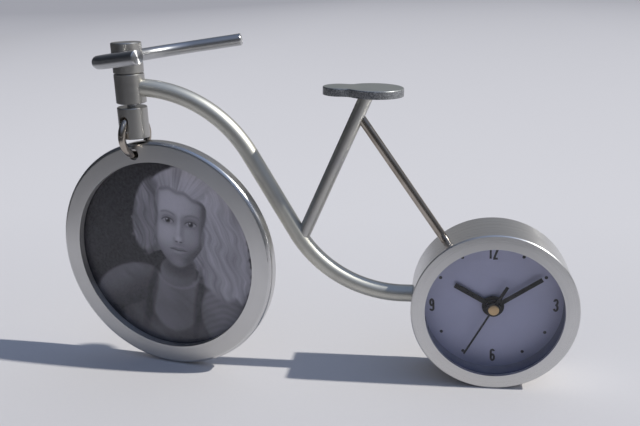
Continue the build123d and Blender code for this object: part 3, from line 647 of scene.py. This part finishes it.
cap_shares = []
for step in range(CAP_CROWN_STEPS + 1):
    share = step / CAP_CROWN_STEPS
    cap_shares.append((CAP_CROWN * share, CAP_CROWN_DROP * share**2))
cap_profile = []
for outward, back in cap_shares + CAP_SIDE:
    cap_profile.append((CAP_RADIUS * outward, CAP_FRONT + (CAP_BACK - CAP_FRONT) * back))
cap_brass = turned_metal("turned_cap", CLOCK_CENTRE, CLOCK_AXIS,
                         CAP_LIGHT, CAP_DEEP, rough=(0.34, 0.46), lines=9000.0, brushed=0.3)
second_cap = lathe("domed_second_cap", cap_profile, Matrix.Translation(CLOCK_CENTRE), cap_brass, 48, 35)
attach(second_cap, "second")
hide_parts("second_cap")


# Back of the clock: a moulded black cover held by three slotted screws and a spring ring, with a battery
# cap that turns in a bayonet and a fluted knob that sets the hands.
COVER_LIGHT = (0.036, 0.036, 0.038, 1.0)
COVER_DEEP = (0.020, 0.020, 0.022, 1.0)
KNOB_LIGHT = (0.030, 0.030, 0.032, 1.0)
KNOB_DEEP = (0.018, 0.018, 0.019, 1.0)
cover_black = soft_matt("cover_black", COVER_LIGHT, COVER_DEEP, rough=(0.45, 0.62), grain=1400.0, relief=0.3)
knob_black = soft_matt("knob_black", KNOB_LIGHT, KNOB_DEEP, rough=(0.30, 0.42), grain=2400.0, relief=0.15)
dress(cover_black, "back_cover")
dress(knob_black, "battery_cap", "set_knob")
dress(plated_steel, "cover_screws", "retaining_ring")


# Steering: a turned stem with two bent bar arms pressed into it, a steel spindle through the head collar
# and a slotted cup below it that carries the wire ring. The arms are satin polished, their cut ends faced.
BAR_RADIUS = 2.44 * MM
BAR_ROOT = Vector((0, 1.9, 0)) * MM
BAR_CORNER = Vector((0, 23.8, 0)) * MM
BAR_END = Vector((31.2, 35.2, 4.1)) * MM
BAR_BEND = 20.0 * MM
BAR_EDGE = 0.3 * MM
BAR_TURN = math.radians(-15.0)
BAR_LIGHT = (0.48, 0.48, 0.48, 1.0)
BAR_DEEP = (0.42, 0.425, 0.43, 1.0)
BAR_ABOVE_STEM_FOOT = 5.95 * MM
BAR_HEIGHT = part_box("steering_stem")[0][2] + BAR_ABOVE_STEM_FOOT
# The stem and the fork take the head's darker tones, painted shade.
turned_stem = turned_metal("turned_stem", HEAD_CENTRE, HEAD_AXIS,
                           HEAD_SHADE_PALE, HEAD_SHADE_DARK, rough=(0.30, 0.36), lines=8000.0, brushed=0.3)
dress(turned_stem, "steering_stem", "fork")
dress(plated_steel, "steering_spindle")
polished_bar = satin_metal("polished_bar", BAR_LIGHT, BAR_DEEP, rough=(0.34, 0.38), grain=3600.0, drawn=0.4)


def rounded_corner(start, corner, end, radius, steps=24):
    """A line with its one corner rounded by a tangent arc."""
    before = (start - corner).normalized()
    after = (end - corner).normalized()
    half = before.angle(after) / 2
    middle = corner + (before + after).normalized() * (radius / math.sin(half))
    first = corner + before * (radius / math.tan(half)) - middle
    last = corner + after * (radius / math.tan(half)) - middle
    whole = first.angle(last)
    points = [start]
    for step in range(steps + 1):
        share = step / steps
        spot = first * math.sin((1 - share) * whole) + last * math.sin(share * whole)
        points.append(middle + spot / math.sin(whole))
    return points + [end]


bar_axis = Matrix.Translation((HEAD_X, 0, BAR_HEIGHT)) @ Matrix.Rotation(BAR_TURN, 4, "Z")
for side, sign in (("left", -1), ("right", 1)):
    mirror = Matrix.Diagonal((1, sign, 1, 1))
    bar_corner = bar_axis @ mirror @ BAR_CORNER
    bar_end = bar_axis @ mirror @ BAR_END
    bar_start = bar_axis @ mirror @ BAR_ROOT
    grip = (bar_end - bar_corner).normalized()
    axis_points = rounded_corner(bar_start, bar_corner, bar_end - grip * BAR_EDGE, BAR_BEND)
    bar = run_tree(rod_nodes, "handlebar_arm_" + side, path_mesh("bar_axis_" + side, axis_points),
                   {"Radius": BAR_RADIUS, "Sides": ROD_SIDES, "Finish": polished_bar})
    faced = turned_metal("faced_bar_" + side, tuple(bar_end), tuple(grip),
                         TURNED_LIGHT, TURNED_DEEP, rough=(0.27, 0.33), lines=9000.0, brushed=0.95)
    end_place = Matrix.Translation(bar_end) @ grip.to_track_quat("Y", "Z").to_matrix().to_4x4()
    end_profile = [(0.0, -BAR_EDGE), (BAR_RADIUS, -BAR_EDGE), (BAR_RADIUS - BAR_EDGE, 0.0), (0.0, 0.0)]
    bar_face = lathe("handlebar_end_" + side, end_profile, end_place, faced, 64, 30)
    for piece in (bar, bar_face):
        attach(piece, "steering")
    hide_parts("handlebar_" + side)


# Wire ring: nickel plated steel wire bent round through the fork's slots and the hole in the photo frame.
# It is polished like the stay.
dress(polished_nickel, "hanger_ring")


# Photo frame: a heavy aluminium ring that stands on its rim, turned with a nearly flat front and a smoother
# rounded shoulder, with a step behind for the lens and the back and one drilled hole for the wire ring.
FRAME_TURN = math.radians(-11.0)
FRAME_RADIUS = 48.5 * MM
FRAME_TRAIL = 9.0 * MM
FRAME_MIDDLE = 2.3 * MM
SHOULDER_WIDTH = 1.4 * MM
SHOULDER_RADIUS = FRAME_RADIUS - SHOULDER_WIDTH
frame_place = (Matrix.Translation((HEAD_X, 0, FRAME_RADIUS)) @ Matrix.Rotation(FRAME_TURN, 4, "Z")
               @ Matrix.Translation((FRAME_TRAIL, -FRAME_MIDDLE, 0)))
frame_centre = tuple(frame_place.translation)
frame_axis = tuple(frame_place.to_3x3() @ Vector((0, 1, 0)))
turned_frame = turned_metal("turned_frame", frame_centre, frame_axis,
                            TURNED_LIGHT, TURNED_DEEP, rough=(0.36, 0.44), lines=6500.0, brushed=0.75,
                            polished=SHOULDER_RADIUS)
dress(turned_frame, "photo_frame_ring")


# Lens: a clear acrylic disc in front of the print, flat and glossy.
# It lies in the frame's step, and the print and the card press it from behind.
dress(clear_sheet("lens_clear", rough=0.025, share=0.014), "photo_lens")


# Print: a glossy monochrome portrait on paper, toned a little towards lilac, cut round to fit the step.
# It shows a head with long fair waves of hair and an open jacket over a tee, painted by formula.
PRINT_RADIUS = 41.1 * MM
PRINT_FRONT = 3.44 * MM
PRINT_BACK = 3.59 * MM
PRINT_STEPS = 280
PRINT_TINT = (0.74, 0.715, 0.80)
PAPER_BACK = (0.62, 0.61, 0.64, 1.0)
PAPER_GREY = (0.30, 0.29, 0.33, 1.0)
HEAD_AT = (7.0, 14.5)
HEAD_HALF = 20.0
HEAD_LEAN = math.radians(7.0)
FACE_WIDTH = 0.66
EYE_WIDTH = FACE_WIDTH * 2 / 5
BROW_LINE = 0.17
NOSE_LINE = (BROW_LINE - 1.0) / 2
MOUTH_LINE = NOSE_LINE - (NOSE_LINE + 1.0) / 3


def smooth_step(low, high, value):
    """A smooth rise from nothing at the low end to one at the high end."""
    share = np.clip((value - low) / (high - low), 0.0, 1.0)
    return share * share * (3 - 2 * share)


def oval(x, z, centre, half_width, half_height, softness, tilt=0.0):
    """A soft-edged oval, one inside and nothing outside."""
    cosine = math.cos(math.radians(tilt))
    sine = math.sin(math.radians(tilt))
    right = (x - centre[0]) * cosine + (z - centre[1]) * sine
    up = (z - centre[1]) * cosine - (x - centre[0]) * sine
    reach = np.sqrt((right / half_width)**2 + (up / half_height)**2)
    return 1 - smooth_step(1 - softness, 1 + softness, reach)


def soft_line(distance, width):
    """A soft line, one on the line itself and fading to both sides."""
    return np.exp(-(distance / width)**2)


def lay(tones, tone, share):
    """Lay a tone over others by a share."""
    return tones + (tone - tones) * share


def lattice(across, along, seed):
    """Smooth noise from nothing to one on a unit lattice."""
    def corner(column, row):
        mixed = np.sin(column * 12.9898 + row * 78.233 + seed * 37.719) * 43758.5453
        return mixed - np.floor(mixed)

    column = np.floor(across)
    row = np.floor(along)
    right = smooth_step(0.0, 1.0, across - column)
    up = smooth_step(0.0, 1.0, along - row)
    low = corner(column, row) * (1 - right) + corner(column + 1, row) * right
    high = corner(column, row + 1) * (1 - right) + corner(column + 1, row + 1) * right
    return low * (1 - up) + high * up


def strands(across, along, seed):
    """Light and dark of hair: broad locks, strands and single hairs, long in the way they fall."""
    locks = 0.40 * lattice(across / 2.6, along / 9.0, seed)
    threads = 0.34 * lattice(across / 1.0, along / 11.0, seed + 1)
    return locks + threads + 0.26 * lattice(across / 0.45, along / 9.0, seed + 2)


def falling_hair(x, z):
    """The strands of the long waves, and how much light they get."""
    wave = 0.9 * np.sin(z / 2.7 + 2.6 * lattice(x / 7.0, z / 13.0, 6)) + 0.45 * np.sin(z / 1.3 + x / 2.1)
    lit = 0.16 + 0.42 * smooth_step(-14, 26, x + 0.35 * z) + 0.10 * smooth_step(0, 34, z)
    return strands(x + wave + 0.25 * z, z, 11), lit


def lay_hair_behind(tones, x, z, falling, lit):
    """Hair behind the head: long waves to the right, curls to the chin on the left."""
    edge = 0.9 * np.sin(z * 0.8 + x * 0.3) + 0.6 * np.sin(z * 1.7 - x * 0.8 + 1.0) + 1.6 * (falling - 0.5)
    behind = oval(x, z, (9.5, 19.5), 17.5 + edge, 18.6 + 0.4 * edge, 0.05)
    behind = np.maximum(behind, oval(x, z, (24.0, 4.0), 13.5 + edge, 25.5, 0.07, 14))
    behind = np.maximum(behind, oval(x, z, (-7.0, 12.0), 7.0 + 1.7 * edge, 12.5 + 0.6 * edge, 0.08, -10))
    return lay(tones, lit * (0.45 + 0.95 * falling), behind)


def lay_clothes(tones, x, z):
    """An open jacket over a tee: an arm held out to the left, a paler knitted sleeve on the right."""
    knit = np.sin(x * 4.0 + 0.8 * np.sin(z * 0.8)) * np.sin(z * 3.4)
    folds = lattice((x * 0.8 + z) / 6.0, (x - z) / 15.0, 31)
    folds = 0.6 * folds + 0.4 * lattice((x * 0.8 + z) / 2.6, (x - z) / 9.0, 32)
    body = oval(x, z, (4.0, -37.0), 29.0, 27.5, 0.05)
    tones = lay(tones, 0.07 + 0.12 * folds + 0.008 * knit, body)
    arm = oval(x, z, (-20.0, -15.5), 17.0, 9.0, 0.08, 22)
    arm_round = smooth_step(-8, 7, z + 15.5 - 0.40 * (x + 20))
    tones = lay(tones, 0.07 + 0.22 * arm_round * (0.45 + 0.55 * folds) + 0.008 * knit, arm)
    tee = oval(x, z, (2.5, -20.0), 11.5, 15.0, 0.07, -14)
    tones = lay(tones, 0.17 + 0.11 * folds + 0.06 * smooth_step(8, -10, x), tee)
    for middle, tilt in ((-9.5, -16), (13.5, -10)):
        tones = lay(tones, 0.045, 0.75 * oval(x, z, (middle, -20.0), 2.2, 15.0, 0.5, tilt))
    sleeve = oval(x, z, (25.0, -27.0), 10.5, 15.0, 0.07, 14)
    sleeve_round = np.sqrt(np.clip(1 - ((x - 25 + 0.2 * (z + 27)) / 12)**2, 0.0, 1.0))
    ribs = 0.5 + 0.5 * np.sin(z * 2.2 + 0.10 * (x - 25)**2 + 0.6 * np.sin(x * 0.7))
    return lay(tones, 0.10 + 0.26 * sleeve_round * (0.55 + 0.25 * folds + 0.20 * ribs), sleeve)


def lay_neck(tones, x, z):
    """The neck in the shade of the chin, with the tee's round neckband."""
    collar = np.sqrt(((x - 4.6) / 9.4)**2 + ((z + 8.0) / 6.6)**2)
    tones = lay(tones, 0.20 + 0.10 * smooth_step(10, -6, x), oval(x, z, (4.6, -7.0), 8.4, 6.4, 0.06))
    tones = lay(tones, 0.34, 0.8 * soft_line(collar - 1.0, 0.085) * smooth_step(-7, -10, z))
    return lay(tones, 0.09, 0.85 * oval(x, z, (5.6, -4.0), 8.4, 5.2, 0.5, -6))


def head_place(x, z):
    """Right and up from the leaning head's middle, one at the crown and minus one at the chin."""
    cosine = math.cos(HEAD_LEAN)
    sine = math.sin(HEAD_LEAN)
    right = ((x - HEAD_AT[0]) * cosine - (z - HEAD_AT[1]) * sine) / HEAD_HALF
    up = ((x - HEAD_AT[0]) * sine + (z - HEAD_AT[1]) * cosine) / HEAD_HALF
    return right, up


def dab(skin, right, up, centre, half_width, half_height, tone, share, softness=0.9):
    """Lay one soft oval of tone on the face."""
    return lay(skin, tone, share * oval(right, up, centre, half_width, half_height, softness))


def lay_eye(skin, right, up, side):
    """One eye under its brow: the hollow round it, lids, iris, pupil and a glint."""
    middle = side * EYE_WIDTH
    skin = dab(skin, right, up, (middle, 0.045), 0.20, 0.125, 0.24, 0.62, 0.7)
    skin = dab(skin, right, up, (side * 0.115, 0.03), 0.07, 0.12, 0.26, 0.40)
    along = (right - middle) / (EYE_WIDTH / 2)
    arch = np.clip(1 - along**2, 0.0, 1.0)
    upper = 0.062 * arch**0.8 + 0.006 * along * side
    lower = -0.046 * arch + 0.006 * along * side
    opening = smooth_step(-0.008, 0.008, upper - up) * smooth_step(-0.008, 0.008, up - lower)
    opening = opening * (np.abs(along) < 1)
    skin = lay(skin, 0.50, opening)
    gaze = np.hypot(right - middle, up - 0.010)
    skin = lay(skin, 0.10, opening * (1 - smooth_step(0.054, 0.066, gaze)))
    skin = lay(skin, 0.015, opening * (1 - smooth_step(0.022, 0.032, gaze)))
    glint = np.hypot(right - middle + 0.022, up - 0.034)
    skin = lay(skin, 0.90, opening * (1 - smooth_step(0.010, 0.020, glint)))
    lash = soft_line(up - upper - 0.006, 0.015) * (np.abs(along) < 1.08)
    skin = lay(skin, 0.04, 0.90 * lash)
    skin = lay(skin, 0.20, 0.45 * soft_line(up - upper - 0.052, 0.014) * (np.abs(along) < 1.05))
    skin = lay(skin, 0.24, 0.40 * soft_line(up - lower + 0.010, 0.012) * (np.abs(along) < 1))
    brow_curve = BROW_LINE + 0.030 - 0.030 * (along - side * 0.25)**2
    brow = soft_line(up - brow_curve, 0.026) * (1 - smooth_step(1.0, 1.5, np.abs(along - side * 0.1)))
    return lay(skin, 0.22, 0.60 * brow)


def lay_nose(skin, right, up):
    """The nose: a lit ridge beside its shaded flank, the tip, the wings and the shade below."""
    skin = dab(skin, right, up, (0.065, -0.17), 0.055, 0.24, 0.30, 0.50)
    skin = dab(skin, right, up, (-0.015, -0.15), 0.034, 0.24, 0.84, 0.45)
    skin = dab(skin, right, up, (-0.010, NOSE_LINE + 0.055), 0.075, 0.055, 0.84, 0.55)
    for side in (-1, 1):
        skin = dab(skin, right, up, (side * 0.105, NOSE_LINE + 0.030), 0.034, 0.050, 0.34, 0.50, 0.7)
        skin = dab(skin, right, up, (side * 0.050, NOSE_LINE - 0.008), 0.034, 0.017, 0.06, 0.85, 0.5)
    return dab(skin, right, up, (0.02, NOSE_LINE - 0.060), 0.12, 0.034, 0.30, 0.55)


def lay_mouth(skin, right, up):
    """The closed mouth: two lips, the seam between them and the shade below."""
    along = right / 0.20
    curve = np.clip(1 - along**2, 0.0, 1.0)
    seam = MOUTH_LINE - 0.005 * np.cos(right * 30) + 0.020 * along**2
    over = seam + 0.064 * curve * (1 - 0.22 * soft_line(right, 0.035))
    below = seam - 0.082 * curve**0.8
    inside = np.abs(along) < 1
    lip_up = smooth_step(-0.009, 0.009, over - up) * smooth_step(-0.006, 0.006, up - seam) * inside
    lip_low = smooth_step(-0.009, 0.009, up - below) * smooth_step(-0.006, 0.006, seam - up) * inside
    skin = lay(skin, 0.27, 0.75 * lip_up)
    skin = lay(skin, 0.40, 0.70 * lip_low)
    skin = dab(skin, right, up, (-0.02, MOUTH_LINE - 0.040), 0.08, 0.022, 0.58, 0.6)
    line = soft_line(up - seam, 0.010) * (1 - smooth_step(0.85, 1.08, np.abs(along)))
    skin = lay(skin, 0.05, 0.85 * line)
    return dab(skin, right, up, (0.01, MOUTH_LINE - 0.115), 0.13, 0.030, 0.32, 0.50)


def face_tones(right, up):
    """An egg with its narrow end down, in soft light from the upper left, and where it covers the rest."""
    width = FACE_WIDTH * (1.0 - 0.20 * smooth_step(0.0, 1.0, -up)**1.3)
    side_on = right / width
    reach = np.sqrt(side_on**2 + up**2)
    toward = np.sqrt(np.clip(1 - reach**2, 0.0, 1.0))
    light = np.clip(-0.36 * side_on + 0.34 * up + 0.84 * toward, 0.0, 1.0)
    skin = 0.16 + 0.56 * light
    skin = dab(skin, right, up, (-0.31, -0.30), 0.20, 0.17, 0.78, 0.45)
    skin = dab(skin, right, up, (0.33, -0.32), 0.18, 0.17, 0.60, 0.40)
    skin = dab(skin, right, up, (-0.06, 0.46), 0.36, 0.20, 0.80, 0.35)
    skin = dab(skin, right, up, (0.0, -0.90), 0.16, 0.10, 0.66, 0.35)
    for side in (-1, 1):
        skin = lay_eye(skin, right, up, side)
    skin = lay_nose(skin, right, up)
    skin = lay_mouth(skin, right, up)
    return skin, 1 - smooth_step(0.965, 1.015, reach)


def lay_front_hair(tones, right, up, face, falling, lit):
    """Hair swept from a parting on the left across the brow, with locks down both sides of the face."""
    hairline = 0.70 - 0.30 * (right + 0.20)**2 - 0.10 * (right + 0.20) + 0.02 * np.sin(right * 17)
    crown = smooth_step(-0.03, 0.05, up - hairline) * oval(right, up, (0.06, 0.36), 0.86, 0.80, 0.05)
    swept = np.arctan2(up - 0.15, right + 0.20) * 17.0
    combed = strands(swept, np.hypot(right + 0.20, up - 0.15) * 20.0, 23)
    tones = lay(tones, (lit + 0.04) * (0.45 + 0.95 * combed), crown)
    left_lock = smooth_step(-0.03, 0.03, -0.53 + 0.04 * np.sin(up * 8 + 1) - right)
    left_lock = left_lock * oval(right, up, (-0.72, 0.05), 0.36, 0.80, 0.10, -6)
    tones = lay(tones, 0.06 + 0.56 * falling, left_lock)
    right_lock = smooth_step(-0.03, 0.03, right - 0.55 - 0.05 * np.sin(up * 6))
    right_lock = right_lock * oval(right, up, (0.98, -0.30), 0.56, 1.22, 0.08, 8)
    tones = lay(tones, lit * (0.42 + 0.98 * falling), right_lock)
    shade = soft_line(right + 0.53, 0.05) + soft_line(right - 0.53, 0.07)
    shade = np.maximum(shade, soft_line(up - hairline + 0.03, 0.05))
    return lay(tones, tones * 0.45, 0.75 * np.clip(shade, 0, 1) * face * (up < hairline + 0.03))


def portrait(x, z):
    """Tones of the print at points in millimetres from its middle, right and up."""
    tones = 0.036 + 0.014 * lattice(x / 9.0, z / 9.0, 3) + 0.012 * smooth_step(-10, 40, x)
    falling, lit = falling_hair(x, z)
    tones = lay_hair_behind(tones, x, z, falling, lit)
    tones = lay_clothes(tones, x, z)
    tones = lay_neck(tones, x, z)
    right, up = head_place(x, z)
    skin, face = face_tones(right, up)
    tones = lay(tones, skin, face)
    tones = lay_front_hair(tones, right, up, face, falling, lit)
    return np.clip(tones, 0.01, 0.95)


def round_grid(steps, radius):
    """A square grid squeezed evenly into a disc, as rows of right and up."""
    line = np.linspace(-1.0, 1.0, steps)
    a, b = np.meshgrid(line, line)
    a_wins = np.abs(a) > np.abs(b)
    reach = np.where(a_wins, a, b)
    safe = np.where(np.abs(reach) < 1e-12, 1.0, reach)
    angle = np.where(a_wins, math.pi / 4 * b / safe, math.pi / 2 - math.pi / 4 * a / safe)
    return radius * reach * np.cos(angle), radius * reach * np.sin(angle)


grid_right, grid_up = round_grid(PRINT_STEPS, PRINT_RADIUS)
tones = portrait(grid_right.ravel() / MM, grid_up.ravel() / MM)
builder = bmesh.new()
front = []
for right, up in zip(grid_right.ravel(), grid_up.ravel()):
    front.append(builder.verts.new(frame_place @ Vector((right, PRINT_FRONT, up))))
for row in range(PRINT_STEPS - 1):
    for column in range(PRINT_STEPS - 1):
        a = row * PRINT_STEPS + column
        builder.faces.new((front[a], front[a + 1], front[a + PRINT_STEPS + 1], front[a + PRINT_STEPS]))
last = PRINT_STEPS - 1
rim = list(range(last))
rim += [k * PRINT_STEPS + last for k in range(last)]
rim += [last * PRINT_STEPS + k for k in range(last, 0, -1)]
rim += [k * PRINT_STEPS for k in range(last, 0, -1)]
step_back = frame_place.to_3x3() @ Vector((0, PRINT_BACK - PRINT_FRONT, 0))
rear = [builder.verts.new(front[k].co + step_back) for k in rim]
for k in range(len(rim)):
    n = (k + 1) % len(rim)
    builder.faces.new((front[rim[k]], rear[k], rear[n], front[rim[n]]))
builder.faces.new(rear)
print_paper, tree, shader = start_material("print_paper")
ink = add_node(tree, "ShaderNodeAttribute", attribute_name="print_tone")
place = object_place(tree)
paper_grain = noise(tree, place, 3000.0, 2.0)
paper_cloud = noise(tree, place, 900.0)
tinted = mix_colours(tree, spread(tree, paper_cloud, 0.0, 0.12), ink.outputs["Color"], PAPER_GREY)
paint(tree, shader, tinted, spread(tree, paper_grain, 0.32, 0.42))
add_bump(tree, shader, paper_grain, 0.04, 0.02 * MM)
shader.inputs["Specular IOR Level"].default_value = 0.12
photo_print = finish_mesh(builder, "portrait_print", print_paper)
colours = photo_print.data.color_attributes.new("print_tone", "FLOAT_COLOR", "POINT")
painted = np.empty((len(photo_print.data.vertices), 4), dtype=np.float32)
painted[:] = PAPER_BACK
painted[:len(tones), :3] = tones[:, None] * PRINT_TINT
colours.data.foreach_set("color", painted.ravel())
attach(photo_print, "photo_wheel")
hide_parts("photo_print")


# Backing: a grey card disc behind the print, and a thin brushed aluminium plate that pushes in behind it
# and pulls out by a thumb notch at the bottom.
CARD_LIGHT = (0.40, 0.38, 0.35, 1.0)
CARD_DEEP = (0.34, 0.32, 0.29, 1.0)
SCRATCH_LENGTH = 50.0 * MM
SCRATCH_WIDTH = 0.6 * MM
grey_card = soft_matt("grey_card", CARD_LIGHT, CARD_DEEP, rough=(0.8, 0.95), grain=1500.0, relief=0.3)
dress(grey_card, "photo_backing")
brushed_plate, tree, shader = start_material("brushed_plate")
scratch_size = (SCRATCH_LENGTH, SCRATCH_LENGTH, SCRATCH_WIDTH)
place = object_place(tree, frame_centre, (0, 0, FRAME_TURN), scratch_size)
scratch = noise(tree, place, 1.0, 6.0)
cloud = noise(tree, object_place(tree), 50.0)
plate_tone = mix_colours(tree, spread(tree, scratch, 0.0, 1.0), TURNED_LIGHT, SATIN_DEEP)
gloss = calculate(tree, "MULTIPLY", spread(tree, scratch, 0.30, 0.44), spread(tree, cloud, 0.92, 1.08))
paint(tree, shader, plate_tone, gloss, 1.0)
add_bump(tree, shader, scratch, 0.08, 0.02 * MM)
dress(brushed_plate, "photo_back_plate")


# Studio: a pale sheet of paper to stand on, with painted shade towards the back and the sides, one small
# soft key from the right, a bluish fill from above, and two black felt flags on the table, out of view, that
# darken the reflections.
FLOOR_FRONT = (0.63, 0.615, 0.62, 1.0)
FLOOR_MIDDLE = (0.70, 0.685, 0.69, 1.0)
FLOOR_FAR_SHADE = (0.38, 0.375, 0.395, 1.0)
FLOOR_FLECK = (0.5, 0.5, 0.55, 1.0)
FLOOR_HALF = 25
FLAG_LIFT = 2.0 * MM
FLAG_FRONT = [(-4, -3), (3, -3), (3, -0.14), (-4, -0.14)]
FLAG_LEFT = [(-4, -0.14), (-0.29, -0.14), (-1.26, 2.0), (-4, 2.0)]
FLAG_DEEP = (0.03, 0.03, 0.032, 1.0)
FLAG_LIGHT = (0.05, 0.05, 0.055, 1.0)
KEY_COLOUR = (1.0, 0.975, 0.915)
KEY_ENERGY = 3.4
KEY_WIDTH = math.radians(1.2)
KEY_RISE = math.radians(42.2)
KEY_BEHIND = math.radians(0.5)
SKY_LOW = (0.05, 0.052, 0.055, 1.0)
SKY_HAZE = (0.10, 0.11, 0.13, 1.0)
SKY_MIDDLE = (0.25, 0.305, 0.44, 1.0)
SKY_TOP = (0.27, 0.36, 0.57, 1.0)
SKY_LEFT = (0.02, 0.021, 0.024, 1.0)
WALL_HIGH = (0.24, 0.24, 0.245, 1.0)
WALL_LOW = (0.46, 0.455, 0.46, 1.0)
floor_mesh = bpy.data.meshes.new("studio_floor")
floor_corners = [(x * FLOOR_HALF, y * FLOOR_HALF, 0) for x, y in ((-1, -1), (1, -1), (1, 1), (-1, 1))]
floor_mesh.from_pydata(floor_corners, [], [(0, 1, 2, 3)])
floor = add_object("studio_floor", floor_mesh)
floor_paper, tree, shader = start_material("floor_paper")
place = object_place(tree)
parts = split(tree, place)
# Painted shade: the paper darkens towards the back and the sides, and it is a little darker in front.
far_shade = spread(tree, parts["Y"], 0.0, 1.0, 0.3, 5.0)
side_shade = spread(tree, calculate(tree, "ABSOLUTE", parts["X"]), 0.0, 0.3, 0.4, 1.4)
paper = noise(tree, place, 700.0, 2.0)
near = mix_colours(tree, spread(tree, parts["Y"], 0.0, 1.0, -0.06, 0.20), FLOOR_FRONT, FLOOR_MIDDLE)
toned = mix_colours(tree, calculate(tree, "ADD", far_shade, side_shade), near, FLOOR_FAR_SHADE)
paint(tree, shader, mix_colours(tree, spread(tree, paper, 0.0, 0.06), toned, FLOOR_FLECK), 0.75)
shader.inputs["Specular IOR Level"].default_value = 0.2
floor_mesh.materials.append(floor_paper)

flag_black, tree, shader = start_material("flag_black")
place = object_place(tree)
felt = noise(tree, place, 400.0)
paint(tree, shader, mix_colours(tree, felt, FLAG_DEEP, FLAG_LIGHT), 0.9)
parts = split(tree, place)
front_share = spread(tree, parts["Y"], 1.0, 0.0, -0.42, -0.19)
slant = calculate(tree, "ADD", parts["X"], calculate(tree, "MULTIPLY", parts["Y"], 0.45))
left_share = spread(tree, slant, 1.0, 0.0, -0.52, -0.32)
tree.links.new(calculate(tree, "MAXIMUM", front_share, left_share), shader.inputs["Alpha"])
flag_mesh = bpy.data.meshes.new("studio_flags")
flag_corners = [(x, y, FLAG_LIFT) for x, y in FLAG_FRONT + FLAG_LEFT]
flag_mesh.from_pydata(flag_corners, [], [(0, 1, 2, 3), (4, 5, 6, 7)])
flags = add_object("studio_flags", flag_mesh)
flag_mesh.materials.append(flag_black)
flags.visible_camera = False
flags.visible_shadow = False
flags.visible_diffuse = False

key_lamp = bpy.data.lights.new("key_light", "SUN")
key_lamp.angle = KEY_WIDTH
key_lamp.energy = KEY_ENERGY
key_lamp.color = KEY_COLOUR
key = add_object("key_light", key_lamp)
key_direction = Vector((
    math.cos(KEY_RISE) * math.cos(KEY_BEHIND),
    math.cos(KEY_RISE) * math.sin(KEY_BEHIND),
    math.sin(KEY_RISE),
))
key.location = key_direction * 2
key.rotation_euler = key_direction.to_track_quat("Z", "Y").to_euler()

world = bpy.data.worlds.new("studio_fill")
world.use_nodes = True
sky = world.node_tree
toward = add_node(sky, "ShaderNodeTexCoord")
heading = split(sky, toward.outputs["Generated"])
dome = add_node(sky, "ShaderNodeValToRGB", {"Fac": heading["Z"]})
dome.color_ramp.elements[0].position = 0.05
dome.color_ramp.elements[0].color = SKY_LOW
dome.color_ramp.elements[1].position = 1.0
dome.color_ramp.elements[1].color = SKY_TOP
for share, colour in ((0.30, SKY_HAZE), (0.60, SKY_MIDDLE)):
    dome.color_ramp.elements.new(share).color = colour
from_left = spread(sky, heading["X"], 0.85, 0.0, -0.65, -0.05)
dimmed = mix_colours(sky, from_left, dome.outputs["Color"], SKY_LEFT)
behind = spread(sky, heading["Y"], 0.0, 1.0, 0.1, 0.8)
low_down = spread(sky, heading["Z"], 1.0, 0.2, 0.45, 0.95)
not_left = spread(sky, heading["X"], 0.0, 1.0, -0.65, -0.25)
backdrop = calculate(sky, "MULTIPLY", calculate(sky, "MULTIPLY", behind, low_down), not_left)
near_floor = spread(sky, heading["Z"], 1.0, 0.0, 0.06, 0.26)
wall = mix_colours(sky, near_floor, WALL_HIGH, WALL_LOW)
room = mix_colours(sky, backdrop, dimmed, wall)
bright_side = spread(sky, heading["X"], 1.0, 1.55, 0.15, 0.8)
background = sky.nodes["Background"]
sky.links.new(room, background.inputs["Color"])
sky.links.new(bright_side, background.inputs["Strength"])
bpy.context.scene.world = world
bpy.context.scene.view_settings.view_transform = "Standard"


# Camera: a normal lens at the photograph's place, in front of the clock and above it.
# It looks down and a little to the left, with a slight roll.
CAMERA_PLACE = (-0.02409, -0.28507, 0.15858)
CAMERA_YAW = -0.1545
CAMERA_DROP = 0.305
CAMERA_ROLL = -0.0277
ahead = Vector((
    math.sin(CAMERA_YAW) * math.cos(CAMERA_DROP),
    math.cos(CAMERA_YAW) * math.cos(CAMERA_DROP),
    -math.sin(CAMERA_DROP),
))
level = Vector((math.cos(CAMERA_YAW), -math.sin(CAMERA_YAW), 0))
upright = level.cross(ahead)
right = math.cos(CAMERA_ROLL) * level + math.sin(CAMERA_ROLL) * upright
up = math.cos(CAMERA_ROLL) * upright - math.sin(CAMERA_ROLL) * level
lens = bpy.data.cameras.new("photo_camera")
lens.sensor_fit = "HORIZONTAL"
lens.sensor_width = 36.0
lens.lens = 42.75
lens.clip_start = 0.01
camera = add_object("photo_camera", lens)
camera_turn = Matrix((right, up, -ahead)).transposed().to_4x4()
camera.matrix_world = Matrix.Translation(CAMERA_PLACE) @ camera_turn
bpy.context.scene.camera = camera
